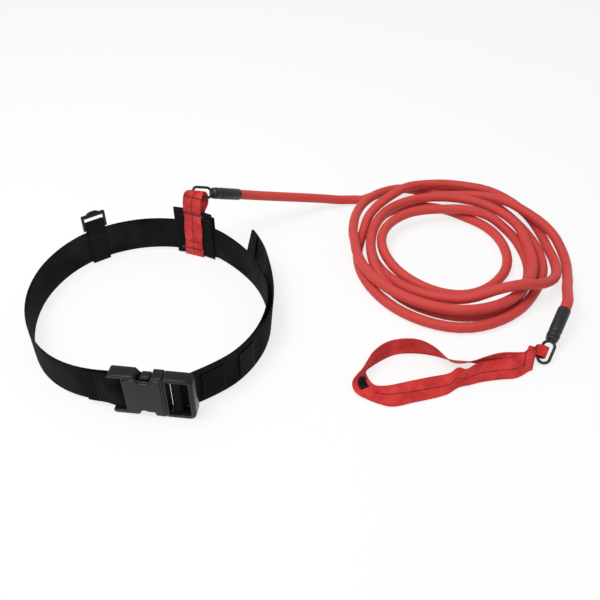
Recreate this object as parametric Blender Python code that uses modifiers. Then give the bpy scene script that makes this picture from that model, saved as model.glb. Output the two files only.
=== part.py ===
"""Swim resistance belt: a waist belt with a side-release buckle, a sliding tether loop, a long
elastic tube coiled on the floor, and a hand strap. Metres, +Z up, the floor at Z = 0."""

import math

import bmesh
import bpy
import numpy as np
from mathutils import Matrix, Vector

MM = 0.001
GAP = 0.3 * MM  # between pieces that touch on the real object
# Moves the whole part so that the origin lies under the middle of all but the tube
TO_ORIGIN = (-5.5 * MM, 4 * MM, 0)

# Webbing
BELT_WIDTH = 50 * MM
BELT_THICK = 1.8 * MM
RED_WIDTH = 27 * MM
RED_THICK = 1.3 * MM
LAYER_GAP = 0.4 * MM  # between two layers of webbing

# Plan of the waist belt, from the buckle's fixed bar, clockwise seen from above: (length, radius),
# a radius of 0 for a straight run. A curve closes the loop to the adjustable half of the buckle.
BELT_RUNS = [(14 * MM, 0), (119 * MM, 134 * MM), (135 * MM, 181 * MM), (183 * MM, 135 * MM),
             (275 * MM, 168 * MM), (98 * MM, 150 * MM)]
# Height of the belt's lower edge over the floor along its length, as (share, height): it rises
# where the keeper, the slider and the buckle pass under it.
BELT_LIFT = [(0.0, 6 * MM), (0.15, 0.4 * MM), (0.32, 0.4 * MM), (0.42, 3 * MM), (0.59, 6.5 * MM),
             (0.70, 0.4 * MM), (0.88, 0.4 * MM), (1.0, 6 * MM)]
FRONT_RUN = 105 * MM  # stretch beside the buckle that gives when the buckle opens
TAIL_LENGTH = 184 * MM  # loose end of the belt, outside the main layer, from the front run
# How far the loose end stands off the main layer, as (distance from its tip, clearance)
TAIL_STAND = [(0, 31 * MM), (12 * MM, 27 * MM), (24 * MM, 23 * MM), (40 * MM, 17.5 * MM),
              (56 * MM, 13 * MM), (73 * MM, 9.5 * MM), (91 * MM, 7.5 * MM), (110 * MM, 6.3 * MM),
              (135 * MM, 6 * MM), (158 * MM, 4 * MM), (175 * MM, 1.5 * MM), (184 * MM, 0)]
HEM_LENGTH = 13 * MM

# Buckle, in its own frame: x along the belt, y towards the wearer, z up
BUCKLE_CENTRE = Vector((-140 * MM, -155 * MM, 6 * MM + BELT_WIDTH / 2))
BUCKLE_TURN = math.radians(-7)
BUCKLE_HALF = 48.5 * MM
BUCKLE_HEIGHT = BELT_WIDTH + 11 * MM
BUCKLE_DEPTH = 16 * MM
MOUTH_X = 14 * MM  # where the two halves meet
BAR_X = -43.5 * MM  # fixed bar
BAR_RADIUS = 2.4 * MM
WEB_SLOT = BELT_WIDTH + 1.6 * MM
WALL = 2.6 * MM
WINDOW = (-19 * MM, 1.5 * MM)  # side windows, along x
WINDOW_DEPTH = 6.5 * MM
FACE_RISE = 1.5 * MM
LADDER_BAR_X = 27.7 * MM
LADDER_BAR_HALF = 2.8 * MM
LADDER_BAR_DEPTH = 4.4 * MM
LADDER_BAR_EDGE = 1 * MM
OUTER_BAR_WIDTH = 6 * MM
LATCH_ROOT_X = 7 * MM
LATCH_ROOT_Z = BUCKLE_HEIGHT / 2 - 13 * MM
LATCH_BEAM = 4.6 * MM
LATCH_TIP_X = -17.5 * MM
PATCH_WIDTH = BELT_WIDTH - 12 * MM
PATCH_THICK = 1.1 * MM

# Tether slider and its red strap
SLIDER_AT = 518 * MM  # along the belt
SLIDER_LENGTH = 60 * MM
SLIDER_HEIGHT = BELT_WIDTH + 27 * MM
PANEL_THICK = 2.2 * MM
PANEL_PLAY = 0.7 * MM
PANEL_FOOT = 1.8 * MM

# Keeper
KEEPER_AT = 373 * MM
KEEPER_WIDTH = 26 * MM
KEEPER_THICK = 1.3 * MM
LOCK_WIDTH = 34 * MM
LOCK_HEIGHT = 27 * MM
LOCK_DEPTH = 3.6 * MM
LOCK_BAR_Z = BELT_WIDTH + 15 * MM
LOCK_RAIL = 3.4 * MM

# Elastic tube and its end fittings
TUBE_DIAMETER = 14 * MM
SLEEVE_DIAMETER = 16.4 * MM
SLEEVE_LENGTH = 45 * MM
SLEEVE_WALL = 0.9 * MM
PLUG_DEPTH = 12 * MM
FLANGE_LENGTH = 3 * MM
FLANGE_DIAMETER = 15.4 * MM
RING_LENGTH = 36 * MM
RING_WIDTH = 18 * MM
RING_WIRE = 3.8 * MM
NEAR_FLANGE = Vector((-98.7, 166.6, 91.2)) * MM
NEAR_AXIS = Vector((0.691, 0.589, -0.419)).normalized()  # from the ring into the tube
NEAR_RISE = Vector((0.0, 0.65, 0.76))  # across the ring
FAR_FLANGE = Vector((337.5, -51.5, 14.2)) * MM
FAR_AXIS = Vector((0.485, 0.81, 0.33)).normalized()
FAR_RISE = Vector((0.86, -0.51, 0.0))

# The tube between the near fitting and the coil, chosen by hand
LEAD_ROUTE = [(-45.6, 212.4, 58.5), (-21, 226.5, 48), (2, 238, 39.5), (24, 248.8, 31.5),
              (55, 264, 20), (88, 275, 10.5), (112, 280.5, 7.3)]
# The coil: (degrees clockwise from the left side, reach from the centre, height of the centre
# line), in millimetres. Each turn is 360 degrees.
COIL_CENTRE = Vector((244, 149, 0)) * MM
COIL_STATIONS = [
    (50, 177, 7), (60, 174, 7), (75, 171.5, 7), (90, 170, 7), (105, 164.5, 7), (120, 152, 7),
    (135, 138, 7), (150, 129, 7), (180, 126, 7), (205, 132.5, 7), (225, 139.5, 7), (240, 150, 7),
    (255, 161, 7), (270, 170, 7), (300, 164.5, 7), (315, 156.5, 7), (330, 148.5, 7),
    (345, 141.5, 7), (360, 135, 7.4), (368, 131.5, 10), (376, 130, 15), (389, 132.5, 21),
    (398, 132, 26), (407, 130, 31), (416, 131, 33.5), (425, 136.5, 33.5), (435, 143, 30),
    (443, 148.5, 26), (450, 151.5, 24.5), (467, 152, 24), (480, 154.5, 23), (494, 154.5, 18.5),
    (509, 151, 13), (524, 145.5, 7.8), (538, 142, 7), (554, 146, 10), (575, 152, 21),
    (588, 149, 31), (600, 141, 39.5), (612, 134, 36.5), (630, 131, 23), (660, 124, 14),
    (690, 118, 9), (705, 117, 7.5), (720, 116, 7), (735, 117, 7), (750, 121, 7), (765, 126, 7),
    (780, 124, 7), (795, 116, 7), (810, 106, 7), (832, 90, 7), (855, 84, 7), (900, 79, 7),
    (945, 88, 7), (990, 105, 7), (1035, 104, 13), (1080, 102, 22), (1125, 91, 22), (1170, 82, 22),
    (1200, 89, 22), (1217, 97, 17), (1232, 101.5, 9), (1260, 103, 7), (1305, 124, 7),
    (1330, 141, 7), (1350, 149, 7), (1370, 146, 7.5), (1395, 137.5, 11), (1410, 131, 18),
    (1425, 123, 22), (1440, 117.5, 22), (1455, 115.5, 22.5), (1485, 117, 22), (1530, 116, 22),
    (1575, 113.5, 22), (1597, 110.5, 22), (1620, 106, 22), (1665, 128, 22), (1690, 145, 22),
    (1710, 153, 22), (1740, 151.5, 22), (1775, 145, 22), (1790, 142, 22.4), (1800, 141, 22.8),
    (1808, 143.5, 22), (1816, 146, 21), (1827, 151.5, 20.5), (1840, 157.5, 21),
    (1850, 159.5, 21.5), (1860, 160, 20), (1869, 159.5, 17.2), (1877, 156.5, 12),
    (1885, 148.5, 8.5), (1891, 138.5, 11.5), (1898, 132.5, 16), (1906, 132, 18.5),
    (1920, 133.5, 24), (1932, 131, 29.5), (1941, 129.5, 33), (1951, 132.5, 31.5), (1960, 140, 28),
    (1967, 147, 24), (1974, 153.5, 18.8), (1982, 159.5, 10), (1992, 162.5, 7), (2005, 165, 13),
    (2016, 172, 21),
]
LOOP_POINTS = 24  # points to a turn
END_ROUTE = [(375, 22, 27)]  # between the coil and the far fitting

# The hand strap: its two edges, from the ring along the far layer, round the left end and back
# along the near layer, in millimetres
HAND_STRAP_EDGES = [
    ((306, -92, 2), (311, -77, 21)), ((290, -98, 1.2), (292, -81, 22)),
    ((268, -97, 1.2), (268, -84, 24.5)), ((250, -84, 1.2), (248, -92, 26)),
    ((232, -77, 1.2), (229, -95, 20)), ((212, -74, 1.2), (207, -94, 18)),
    ((192, -67, 1.2), (188, -77, 25.5)), ((174, -63, 1.2), (171, -66, 28)),
    ((154, -62.5, 1.2), (151, -63.5, 28)), ((139, -66, 1.2), (130, -67.5, 26)),
    ((125, -74.5, 1.2), (113, -82, 24.5)), ((112, -84.5, 1.2), (104, -98, 23.5)),
    ((104, -93, 1.2), (97.5, -109, 21.5)), ((105, -102, 1.4), (90.5, -115.5, 18.5)),
    ((108, -111, 3), (85.5, -121, 13)), ((110.5, -119.5, 7), (86, -128, 8.5)),
    ((114, -127, 12.5), (91, -133.5, 4.5)), ((121, -131, 16.5), (100.5, -138, 1.8)),
    ((130, -131.5, 18.5), (114, -145, 1.2)), ((142, -129.5, 20), (132, -150, 1.2)),
    ((160, -125, 20.5), (158, -143, 1.2)),
    ((177, -120, 20), (177, -138, 1.2)), ((198, -114, 19), (197, -131, 1.2)),
    ((212, -110, 24), (212, -120, 1.2)), ((228, -106, 24), (226, -116, 1.2)),
    ((242, -96, 21), (242, -111, 1.2)), ((266, -91, 20), (265, -107, 1.2)),
    ((284, -88, 20), (283, -105, 1.2)), ((299.5, -75.5, 19.5), (299, -95.5, 1.2)),
    ((311, -68, 17), (308.5, -84.5, 2)),
]
# Then over the far ring's side, through it and back: (upper edge along the ring, lower edge along
# the ring, across the ring, height over its plane), in millimetres
HAND_STRAP_LOOP = [(4.5, -12, -12.5, 3.6), (6, -10, -6.5, 3.6), (6.5, -9.5, -1.5, 2.8),
                   (7, -9.5, 1.2, 0), (6.5, -9.5, -1.5, -2.8), (5.5, -10, -6, -3.2),
                   (4, -11, -10.5, -2.8), (2.5, -12, -16, -1.6), (1, -13, -22, -0.8)]
HAND_PATCH_ROWS = (13.2, 15.6)  # stretch of the strap, in rows of its list, under the sewn patch
HAND_PATCH_SPAN = (0.27, 0.72)  # and its share of the width
HAND_PATCH_THICK = 0.9 * MM

BLACK_WEB = ("black webbing", (0.012, 0.012, 0.014), 0.85, 0.0)
RED_WEB = ("red webbing", (0.56, 0.03, 0.04), 0.8, 0.0)
TUBE_RUBBER = ("red tube", (0.62, 0.045, 0.04), 0.42, 0.0)
PLASTIC = ("black plastic", (0.03, 0.03, 0.033), 0.38, 0.0)
FITTING = ("black fitting", (0.02, 0.02, 0.022), 0.45, 0.0)


# Scene and materials
def clear_scene():
    for found in list(bpy.data.objects):
        bpy.data.objects.remove(found, do_unlink=True)


def new_collection(name):
    made = bpy.data.collections.new(name)
    bpy.context.scene.collection.children.link(made)
    return made


def material(finish):
    name, colour, roughness, metallic = finish
    made = bpy.data.materials.get(name)
    if made is None:
        made = bpy.data.materials.new(name)
        made.use_nodes = True
        shader = made.node_tree.nodes["Principled BSDF"]
        shader.inputs["Base Color"].default_value = (*colour, 1)
        shader.inputs["Roughness"].default_value = roughness
        shader.inputs["Metallic"].default_value = metallic
    return made


def place(name, data, finish, collection, matrix=None):
    made = bpy.data.objects.new(name, data)
    collection.objects.link(made)
    if matrix is not None:
        made.matrix_world = matrix
    if not data.materials:
        data.materials.append(material(finish))
    return made


def frozen(made):
    """The evaluated object as a plain mesh object of the same name and place."""
    bpy.context.view_layer.update()
    graph = bpy.context.evaluated_depsgraph_get()
    mesh = bpy.data.meshes.new_from_object(made.evaluated_get(graph))
    work = bmesh.new()
    work.from_mesh(mesh)
    bmesh.ops.remove_doubles(work, verts=work.verts, dist=0.00001)
    work.to_mesh(mesh)
    work.free()
    name, matrix, home = made.name, made.matrix_world.copy(), made.users_collection[0]
    bpy.data.objects.remove(made, do_unlink=True)
    plain = bpy.data.objects.new(name, mesh)
    home.objects.link(plain)
    plain.matrix_world = matrix
    return plain


def boolean(target, cutter, operation):
    step = target.modifiers.new(operation.lower(), "BOOLEAN")
    step.operation = operation
    step.object = cutter
    cutter.hide_render = True
    cutter.display_type = "WIRE"


def box(name, low, high, finish, collection):
    mesh = bpy.data.meshes.new(name)
    work = bmesh.new()
    bmesh.ops.create_cube(work, size=1)
    size = [b - a for a, b in zip(low, high)]
    middle = [(a + b) / 2 for a, b in zip(low, high)]
    bmesh.ops.scale(work, verts=work.verts, vec=size)
    bmesh.ops.translate(work, verts=work.verts, vec=middle)
    work.to_mesh(mesh)
    work.free()
    return place(name, mesh, finish, collection)


def rod(name, start, end, radius, finish, collection, sides=16):
    mesh = bpy.data.meshes.new(name)
    start, end = Vector(start), Vector(end)
    along = end - start
    turn = along.to_track_quat("Z", "Y").to_matrix().to_4x4()
    work = bmesh.new()
    bmesh.ops.create_cone(work, cap_ends=True, segments=sides, radius1=radius, radius2=radius,
                          depth=along.length,
                          matrix=Matrix.Translation((start + end) / 2) @ turn)
    work.to_mesh(mesh)
    work.free()
    return place(name, mesh, finish, collection)


def plate(name, outline, low_y, high_y, finish, collection, edge=0.0, corner_points=2):
    """A flat outline in the x-z plane, given thickness along y, its edges rounded by `edge`."""
    mesh = bpy.data.meshes.new(name)
    work = bmesh.new()
    face = work.faces.new([work.verts.new((x, low_y, z)) for x, z in outline])
    grown = bmesh.ops.extrude_face_region(work, geom=[face])
    moved = [part for part in grown["geom"] if isinstance(part, bmesh.types.BMVert)]
    bmesh.ops.translate(work, verts=moved, vec=(0, high_y - low_y, 0))
    bmesh.ops.recalc_face_normals(work, faces=work.faces)
    work.to_mesh(mesh)
    work.free()
    made = place(name, mesh, finish, collection)
    if edge:
        bevel = made.modifiers.new("rounded edges", "BEVEL")
        bevel.width = edge
        bevel.segments = corner_points
        bevel.limit_method = "ANGLE"
        bevel.angle_limit = math.radians(40)
    return made


def band(name, edge_a, edge_b, thickness, finish, collection, closed=False, lanes=1):
    """A strip of webbing between two edges, given thickness on both sides of the surface."""
    mesh = bpy.data.meshes.new(name)
    work = bmesh.new()
    rows = [[work.verts.new(Vector(a).lerp(Vector(b), k / lanes)) for k in range(lanes + 1)]
            for a, b in zip(edge_a, edge_b)]
    count = len(rows)
    for i in range(count if closed else count - 1):
        here, ahead = rows[i], rows[(i + 1) % count]
        for k in range(lanes):
            work.faces.new((here[k], ahead[k], ahead[k + 1], here[k + 1]))
    work.to_mesh(mesh)
    work.free()
    made = place(name, mesh, finish, collection)
    shell = made.modifiers.new("thickness", "SOLIDIFY")
    shell.thickness = thickness
    shell.offset = 0
    shell.use_even_offset = True
    return made


def turned(name, profile, finish, collection, origin, axis, steps=24):
    """A turned piece: (distance along the axis, radius) from the far end back to the start."""
    mesh = bpy.data.meshes.new(name)
    work = bmesh.new()
    points = [work.verts.new((radius, 0, along)) for along, radius in profile]
    for a, b in zip(points, points[1:]):
        work.edges.new((a, b))
    work.to_mesh(mesh)
    work.free()
    turn = Vector(axis).to_track_quat("Z", "Y").to_matrix().to_4x4()
    made = place(name, mesh, finish, collection, Matrix.Translation(origin) @ turn)
    screw = made.modifiers.new("turned", "SCREW")
    screw.axis = "Z"
    screw.steps = steps
    screw.render_steps = steps
    screw.use_merge_vertices = True
    screw.merge_threshold = 0.00005
    return made


def pipe(name, points, radius, resolution, finish, collection, cyclic=False):
    curve = bpy.data.curves.new(name, "CURVE")
    curve.dimensions = "3D"
    curve.bevel_depth = radius
    curve.bevel_resolution = resolution
    curve.use_fill_caps = not cyclic
    spline = curve.splines.new("POLY")
    spline.points.add(len(points) - 1)
    for point, place_at in zip(spline.points, points):
        point.co = (*place_at, 1)
    spline.use_cyclic_u = cyclic
    return place(name, curve, finish, collection)


def smooth(stations, at):
    """Value at `at` on a smooth curve through stations of (position, value, value, ...)."""
    rows = np.array(stations, float)
    place_in, values = rows[:, 0], rows[:, 1:]
    slopes = np.gradient(values, place_in, axis=0)
    i = int(np.clip(np.searchsorted(place_in, at, side="right") - 1, 0, len(rows) - 2))
    width = place_in[i + 1] - place_in[i]
    t = (at - place_in[i]) / width
    return ((2 * t**3 - 3 * t**2 + 1) * values[i] + (t**3 - 2 * t**2 + t) * width * slopes[i]
            + (3 * t**2 - 2 * t**3) * values[i + 1] + (t**3 - t**2) * width * slopes[i + 1])


def through(points, pieces):
    """A smooth route through a list of points, with `pieces` steps between each pair."""
    chord = [0.0]
    for a, b in zip(points, points[1:]):
        chord.append(chord[-1] + (Vector(b) - Vector(a)).length)
    rows = [(c, *p) for c, p in zip(chord, points)]
    found = []
    for a, b in zip(chord, chord[1:]):
        found += [Vector(smooth(rows, a + (b - a) * k / pieces)) for k in range(pieces)]
    return found + [Vector(points[-1])]


# Places on the buckle
BUCKLE_FRAME = Matrix.Translation(BUCKLE_CENTRE) @ Matrix.Rotation(BUCKLE_TURN, 4, "Z")


def at_buckle(x, y, z=0.0):
    return BUCKLE_FRAME @ Vector((x, y, z))


# The belt's plan
FOLD_RADIUS = BAR_RADIUS + GAP + BELT_THICK / 2
BELT_START = at_buckle(BAR_X, FOLD_RADIUS)
BELT_HEADING = math.pi + BUCKLE_TURN
STEP = 8 * MM


def belt_arcs():
    """Points along the belt's arcs, 8 mm apart at most: (distance, x, y, heading)."""
    x, y, heading, gone = BELT_START.x, BELT_START.y, BELT_HEADING, 0.0
    rows = [(gone, x, y, heading)]
    for length, radius in BELT_RUNS:
        count = max(2, math.ceil(length / STEP))
        bend = -length / count / radius if radius else 0.0
        for _ in range(count):
            step = length / count
            x += math.cos(heading + bend / 2) * step
            y += math.sin(heading + bend / 2) * step
            heading += bend
            gone += step
            rows.append((gone, x, y, heading))
    return rows


# How the belt leaves the ladder: straight back from its first slot at an angle
EXIT_TURN = math.radians(40)
EXIT_X = 41 * MM
EXIT_Y = 3.5 * MM + (EXIT_X - LADDER_BAR_X + LADDER_BAR_HALF) * math.tan(EXIT_TURN)
CLOSE_PULL = 0.9  # how full the closing curve is


def belt_plan():
    """The whole belt from the fixed bar to the edge of the ladder: (distance, x, y, heading)."""
    rows = belt_arcs()
    gone, x, y, heading = rows[-1]
    end = at_buckle(EXIT_X, EXIT_Y)
    start = Vector((x, y, 0))
    out = Vector((math.cos(heading), math.sin(heading), 0))
    into = -Vector((math.cos(BUCKLE_TURN + EXIT_TURN), math.sin(BUCKLE_TURN + EXIT_TURN), 0))
    span = (Vector((end.x, end.y, 0)) - start).length * CLOSE_PULL
    count = math.ceil(span / STEP)
    last = start
    for k in range(1, count + 1):
        t = k / count
        here = ((2 * t**3 - 3 * t**2 + 1) * start + (t**3 - 2 * t**2 + t) * span * out
                + (3 * t**2 - 2 * t**3) * Vector((end.x, end.y, 0))
                + (t**3 - t**2) * span * into)
        step = here - last
        gone += step.length
        rows.append((gone, here.x, here.y, math.atan2(step.y, step.x)))
        last = here
    return unwrapped(rows)


def unwrapped(rows):
    headings = np.unwrap([row[3] for row in rows])
    return [(row[0], row[1], row[2], h) for row, h in zip(rows, headings)]


PLAN = belt_plan()
BELT_LENGTH = PLAN[-1][0]


def on_belt(distance, outward=0.0):
    """A point on the belt's centre line, or beside it, and the direction of the belt there."""
    _, x, y, heading = (np.interp(distance, [r[0] for r in PLAN], [r[k] for r in PLAN])
                        for k in range(4))
    side = Vector((-math.sin(heading), math.cos(heading), 0))
    return Vector((x, y, 0)) + side * outward, heading


def belt_lift(distance):
    share = distance / BELT_LENGTH
    for (a, low), (b, high) in zip(BELT_LIFT, BELT_LIFT[1:]):
        if share <= b:
            t = (share - a) / (b - a)
            return low + (high - low) * (0.5 - 0.5 * math.cos(math.pi * t))
    return BELT_LIFT[-1][1]


def belt_edges(stations, width=BELT_WIDTH, rise=0.0):
    """Lower and upper edge of a layer from (distance along the belt, distance outward)."""
    low, high = [], []
    for distance, outward in stations:
        point, _ = on_belt(distance, outward)
        foot = belt_lift(min(max(distance, 0), BELT_LENGTH)) + rise
        low.append(point + Vector((0, 0, foot)))
        high.append(point + Vector((0, 0, foot + width)))
    return low, high


def spaced(start, end, step=STEP):
    count = max(1, math.ceil(abs(end - start) / step))
    return [start + (end - start) * k / count for k in range(count + 1)]


LAYER = BELT_THICK + LAYER_GAP  # centre to centre of two layers
FOLD_LENGTH = 38 * MM
SPLIT = BELT_LENGTH - FRONT_RUN


def build_belt(parts):
    """Main layer: sewn back on itself round the fixed bar, then round the waist."""
    low, high = [], []
    for distance in spaced(FOLD_LENGTH, 6 * MM, 6 * MM):
        spread = LAYER + (2 * FOLD_RADIUS - LAYER) * max(0, 1 - distance / (22 * MM)) ** 1.5
        (a,), (b,) = belt_edges([(distance, spread)])
        low.append(a)
        high.append(b)
    foot = belt_lift(0)
    for k in range(8):
        angle = math.pi * (0.5 + 1.0 * k / 7)
        point = at_buckle(BAR_X - math.cos(angle) * FOLD_RADIUS,
                          -math.sin(angle) * FOLD_RADIUS)
        low.append(Vector((point.x, point.y, foot)))
        high.append(Vector((point.x, point.y, foot + BELT_WIDTH)))
    after = [(d, 0.0) for d in spaced(4 * MM, SPLIT - GAP / 2)]
    main_low, main_high = belt_edges(after)
    band("belt_webbing", low + main_low, high + main_high, BELT_THICK, BLACK_WEB, parts)


def tail_offset(distance):
    """How far the loose end lies outside the main layer, at a distance along the belt."""
    from_tip = distance - (SPLIT - TAIL_LENGTH)
    return LAYER + float(smooth(TAIL_STAND, min(from_tip, TAIL_STAND[-1][0]))[0])


def build_front_run(parts):
    """The two layers beside the buckle, and the loop of webbing through the ladder."""
    inner = [(d, 0.0) for d in spaced(SPLIT + GAP / 2, BELT_LENGTH - GAP / 2)]
    band("belt_front_layer", *belt_edges(inner), BELT_THICK, BLACK_WEB, parts)
    outer = [(d, LAYER) for d in spaced(SPLIT + GAP / 2, BELT_LENGTH - GAP / 2)]
    band("tail_front_layer", *belt_edges(outer), BELT_THICK, BLACK_WEB, parts)

    foot = BUCKLE_CENTRE.z - BELT_WIDTH / 2
    half = LADDER_BAR_HALF + GAP + BELT_THICK / 2
    deep = LADDER_BAR_DEPTH / 2 + GAP + BELT_THICK / 2
    bend = LADDER_BAR_EDGE + GAP + BELT_THICK / 2
    along = Vector((math.cos(EXIT_TURN), math.sin(EXIT_TURN)))
    beside = Vector((along.y, -along.x)) * LAYER
    leave = Vector((EXIT_X, EXIT_Y)) - along * GAP
    main = [leave - along * d for d in (0, 6 * MM, 12 * MM, 17 * MM)]
    tail = [leave + beside - along * d for d in (6 * MM, 3 * MM, 0)]
    left, right = LADDER_BAR_X - half, LADDER_BAR_X + half
    route = [tuple(p) for p in main] + [(left + 0.3 * MM, 4.2 * MM), (left, 1 * MM)]
    route += [(left, bend - deep), (left + bend * 0.29, bend * 0.29 - deep),
              (left + bend, -deep), (right - bend, -deep),
              (right - bend * 0.29, bend * 0.29 - deep), (right, bend - deep), (right, 2.5 * MM),
              (right + 0.6 * MM, 5.5 * MM), (right + 1.9 * MM, 8 * MM)]
    route += [tuple(p) for p in tail]
    low = [at_buckle(x, y) for x, y in route]
    low = [Vector((p.x, p.y, foot)) for p in low]
    high = [p + Vector((0, 0, BELT_WIDTH)) for p in low]
    band("ladder_loop", low, high, BELT_THICK, BLACK_WEB, parts)


def build_tail(parts):
    """The loose end, standing off the belt towards its tip, with a folded and sewn hem."""
    tip = SPLIT - TAIL_LENGTH
    stations = [(d, tail_offset(d)) for d in spaced(SPLIT - GAP / 2, tip)]
    tip_at, tip_offset = stations[-1]
    fold = [(tip_at - LAYER * 0.35, tip_offset - LAYER * 0.15),
            (tip_at - LAYER * 0.35, tip_offset - LAYER * 0.85),
            (tip_at, tip_offset - LAYER)]
    back = [(d, tail_offset(d) - LAYER) for d in spaced(tip + 3 * MM, tip + HEM_LENGTH, 5 * MM)]
    band("belt_tail", *belt_edges(stations + fold + back), BELT_THICK, BLACK_WEB, parts)


def build_patches(parts):
    """Two strips of hook tape sewn to the outer face beside the buckle."""
    out = LAYER + BELT_THICK / 2 + GAP + PATCH_THICK / 2
    rise = (BELT_WIDTH - PATCH_WIDTH) / 2
    for name, start, end in (("hook_patch_front", 8 * MM, 40 * MM),
                             ("hook_patch_rear", 60 * MM, 88 * MM)):
        row = [(BELT_LENGTH - d, out) for d in spaced(start, end, 6 * MM)]
        band(name, *belt_edges(row, PATCH_WIDTH, rise), PATCH_THICK, BLACK_WEB, parts)


# Buckle
def mirrored(outline):
    """Closes an outline given above z = 0, from left to right, with its mirror below."""
    return outline + [(x, -z) for x, z in reversed(outline)]


def build_buckle_female(parts, cutters):
    """Moulded shell with a mouth, two side windows and a fixed bar between two lugs."""
    top = BUCKLE_HEIGHT / 2
    deep = BUCKLE_DEPTH / 2
    web = WEB_SLOT / 2
    left, right = WINDOW
    lug_end = -BUCKLE_HALF
    outline = mirrored([
        (lug_end, web), (lug_end, top - 2 * MM), (lug_end + 2 * MM, top),
        (left, top), (left + 4.5 * MM, top - WINDOW_DEPTH),
        (right - 2.5 * MM, top - WINDOW_DEPTH), (right, top), (MOUTH_X - 1 * MM, top),
        (MOUTH_X - GAP / 2, top - 1 * MM)])
    # The open end between the lugs, where the webbing goes round the bar.
    slot_x = BAR_X + 10.5 * MM
    outline = [p for p in outline if p != (lug_end, web) and p != (lug_end, -web)]
    outline += [(lug_end, -web), (slot_x, -web), (slot_x, web), (lug_end, web)]
    shell = plate("buckle_female", outline, -deep, deep, PLASTIC, parts, 1.1 * MM)
    face = plate("face", mirrored([
        (slot_x + 1 * MM, top - 6 * MM), (left + 1.5 * MM, top - 4.2 * MM),
        (left + 6.5 * MM, top - WINDOW_DEPTH - 2.5 * MM),
        (right - 2 * MM, top - WINDOW_DEPTH - 2.5 * MM), (right + 2.5 * MM, top - 2 * MM),
        (MOUTH_X - 2.5 * MM, top - 2 * MM)]), -deep - FACE_RISE, 0, PLASTIC, cutters, 1.2 * MM)
    boolean(shell, face, "UNION")
    mouth = box("mouth", (left - 4 * MM, -deep + WALL, -top + 5.2 * MM),
                (MOUTH_X + 5 * MM, deep - WALL, top - 5.2 * MM), PLASTIC, cutters)
    boolean(shell, mouth, "DIFFERENCE")
    bar = rod("fixed_bar", (BAR_X, 0, -web - 1 * MM), (BAR_X, 0, web + 1 * MM), BAR_RADIUS,
              PLASTIC, cutters)
    boolean(shell, bar, "UNION")
    for helper in (face, mouth, bar):
        helper.parent = shell
    shell.matrix_world = BUCKLE_FRAME


def build_buckle_male(parts, cutters):
    """Ladder frame with a guide tongue, and two latch arms that spring into the windows."""
    top = BUCKLE_HEIGHT / 2
    deep = BUCKLE_DEPTH / 2
    web = WEB_SLOT / 2
    start = MOUTH_X + GAP / 2
    corner = 9 * MM
    round_end = [(BUCKLE_HALF - corner + corner * math.sin(a), top - corner + corner * math.cos(a))
                 for a in (math.pi / 2 * k / 4 for k in range(5))]
    outline = mirrored([(start, top - 1 * MM), (start + 1 * MM, top)] + round_end)
    frame = plate("buckle_male", outline, -deep, deep - 1 * MM, PLASTIC, parts, 1.4 * MM)
    opening = box("ladder_slots", (start + 3 * MM, -deep - 3 * MM, -web),
                  (BUCKLE_HALF - OUTER_BAR_WIDTH, deep + 3 * MM, web), PLASTIC, cutters)
    boolean(frame, opening, "DIFFERENCE")
    half, thick = LADDER_BAR_HALF, LADDER_BAR_DEPTH / 2
    bar = plate("ladder_bar", [(LADDER_BAR_X - half, -web - 1 * MM),
                               (LADDER_BAR_X - half, web + 1 * MM),
                               (LADDER_BAR_X + half, web + 1 * MM),
                               (LADDER_BAR_X + half, -web - 1 * MM)],
                -thick, thick, PLASTIC, cutters, LADDER_BAR_EDGE)
    boolean(frame, bar, "UNION")
    inside = deep - WALL - 0.5 * MM
    reach = top - 5.2 * MM - 0.5 * MM
    base = box("tongue_base", (LATCH_ROOT_X + GAP, -inside, -reach), (start + 2 * MM, inside, reach),
               PLASTIC, cutters)
    boolean(frame, base, "UNION")
    tongue = plate("tongue", mirrored([(WINDOW[0] - 1 * MM, 3 * MM), (WINDOW[0] + 3 * MM, 5.5 * MM),
                                       (LATCH_ROOT_X + 3 * MM, 6.5 * MM)]),
                   -inside + 0.6 * MM, inside - 0.6 * MM, PLASTIC, cutters)
    boolean(frame, tongue, "UNION")
    for helper in (opening, bar, base, tongue):
        helper.parent = frame
    frame.matrix_world = BUCKLE_FRAME
    build_latch_arms(parts, inside, top)


def build_latch_arms(parts, inside, top):
    """Each arm starts at the tongue's base and carries a thumb button that fills its window."""
    left, right = WINDOW
    play = 0.5 * MM
    root, low = LATCH_ROOT_X, LATCH_ROOT_Z - LATCH_BEAM / 2
    high = LATCH_ROOT_Z + LATCH_BEAM / 2
    button = top - 1.2 * MM
    outline = [(root, low), (root, high), (right - 1 * MM, high + 1 * MM),
               (right - 3 * MM - play, top - WINDOW_DEPTH + 0.3 * MM),
               (right - 0.6 * MM - play, button),
               (left + 9 * MM, button), (left + 5.2 * MM, top - WINDOW_DEPTH + 1.2 * MM),
               (LATCH_TIP_X, high + 1.5 * MM), (LATCH_TIP_X, low + 1 * MM)]
    for name, side in (("latch_arm_upper", 1), ("latch_arm_lower", -1)):
        pivot = Vector((root, 0, side * LATCH_ROOT_Z))
        shape = [(x - root, side * z - pivot.z) for x, z in outline]
        arm = plate(name, shape, -inside, inside, PLASTIC, parts, 0.8 * MM)
        arm.matrix_world = BUCKLE_FRAME @ Matrix.Translation(pivot)


# Slider
def arc_panel(name, offset, thickness, foot, height, parts):
    row = spaced(SLIDER_AT - SLIDER_LENGTH / 2, SLIDER_AT + SLIDER_LENGTH / 2, 7.5 * MM)
    points = [on_belt(d, offset)[0] for d in row]
    low = [p + Vector((0, 0, foot)) for p in points]
    high = [p + Vector((0, 0, foot + height)) for p in points]
    return band(name, low, high, thickness, BLACK_WEB, parts)


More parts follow.
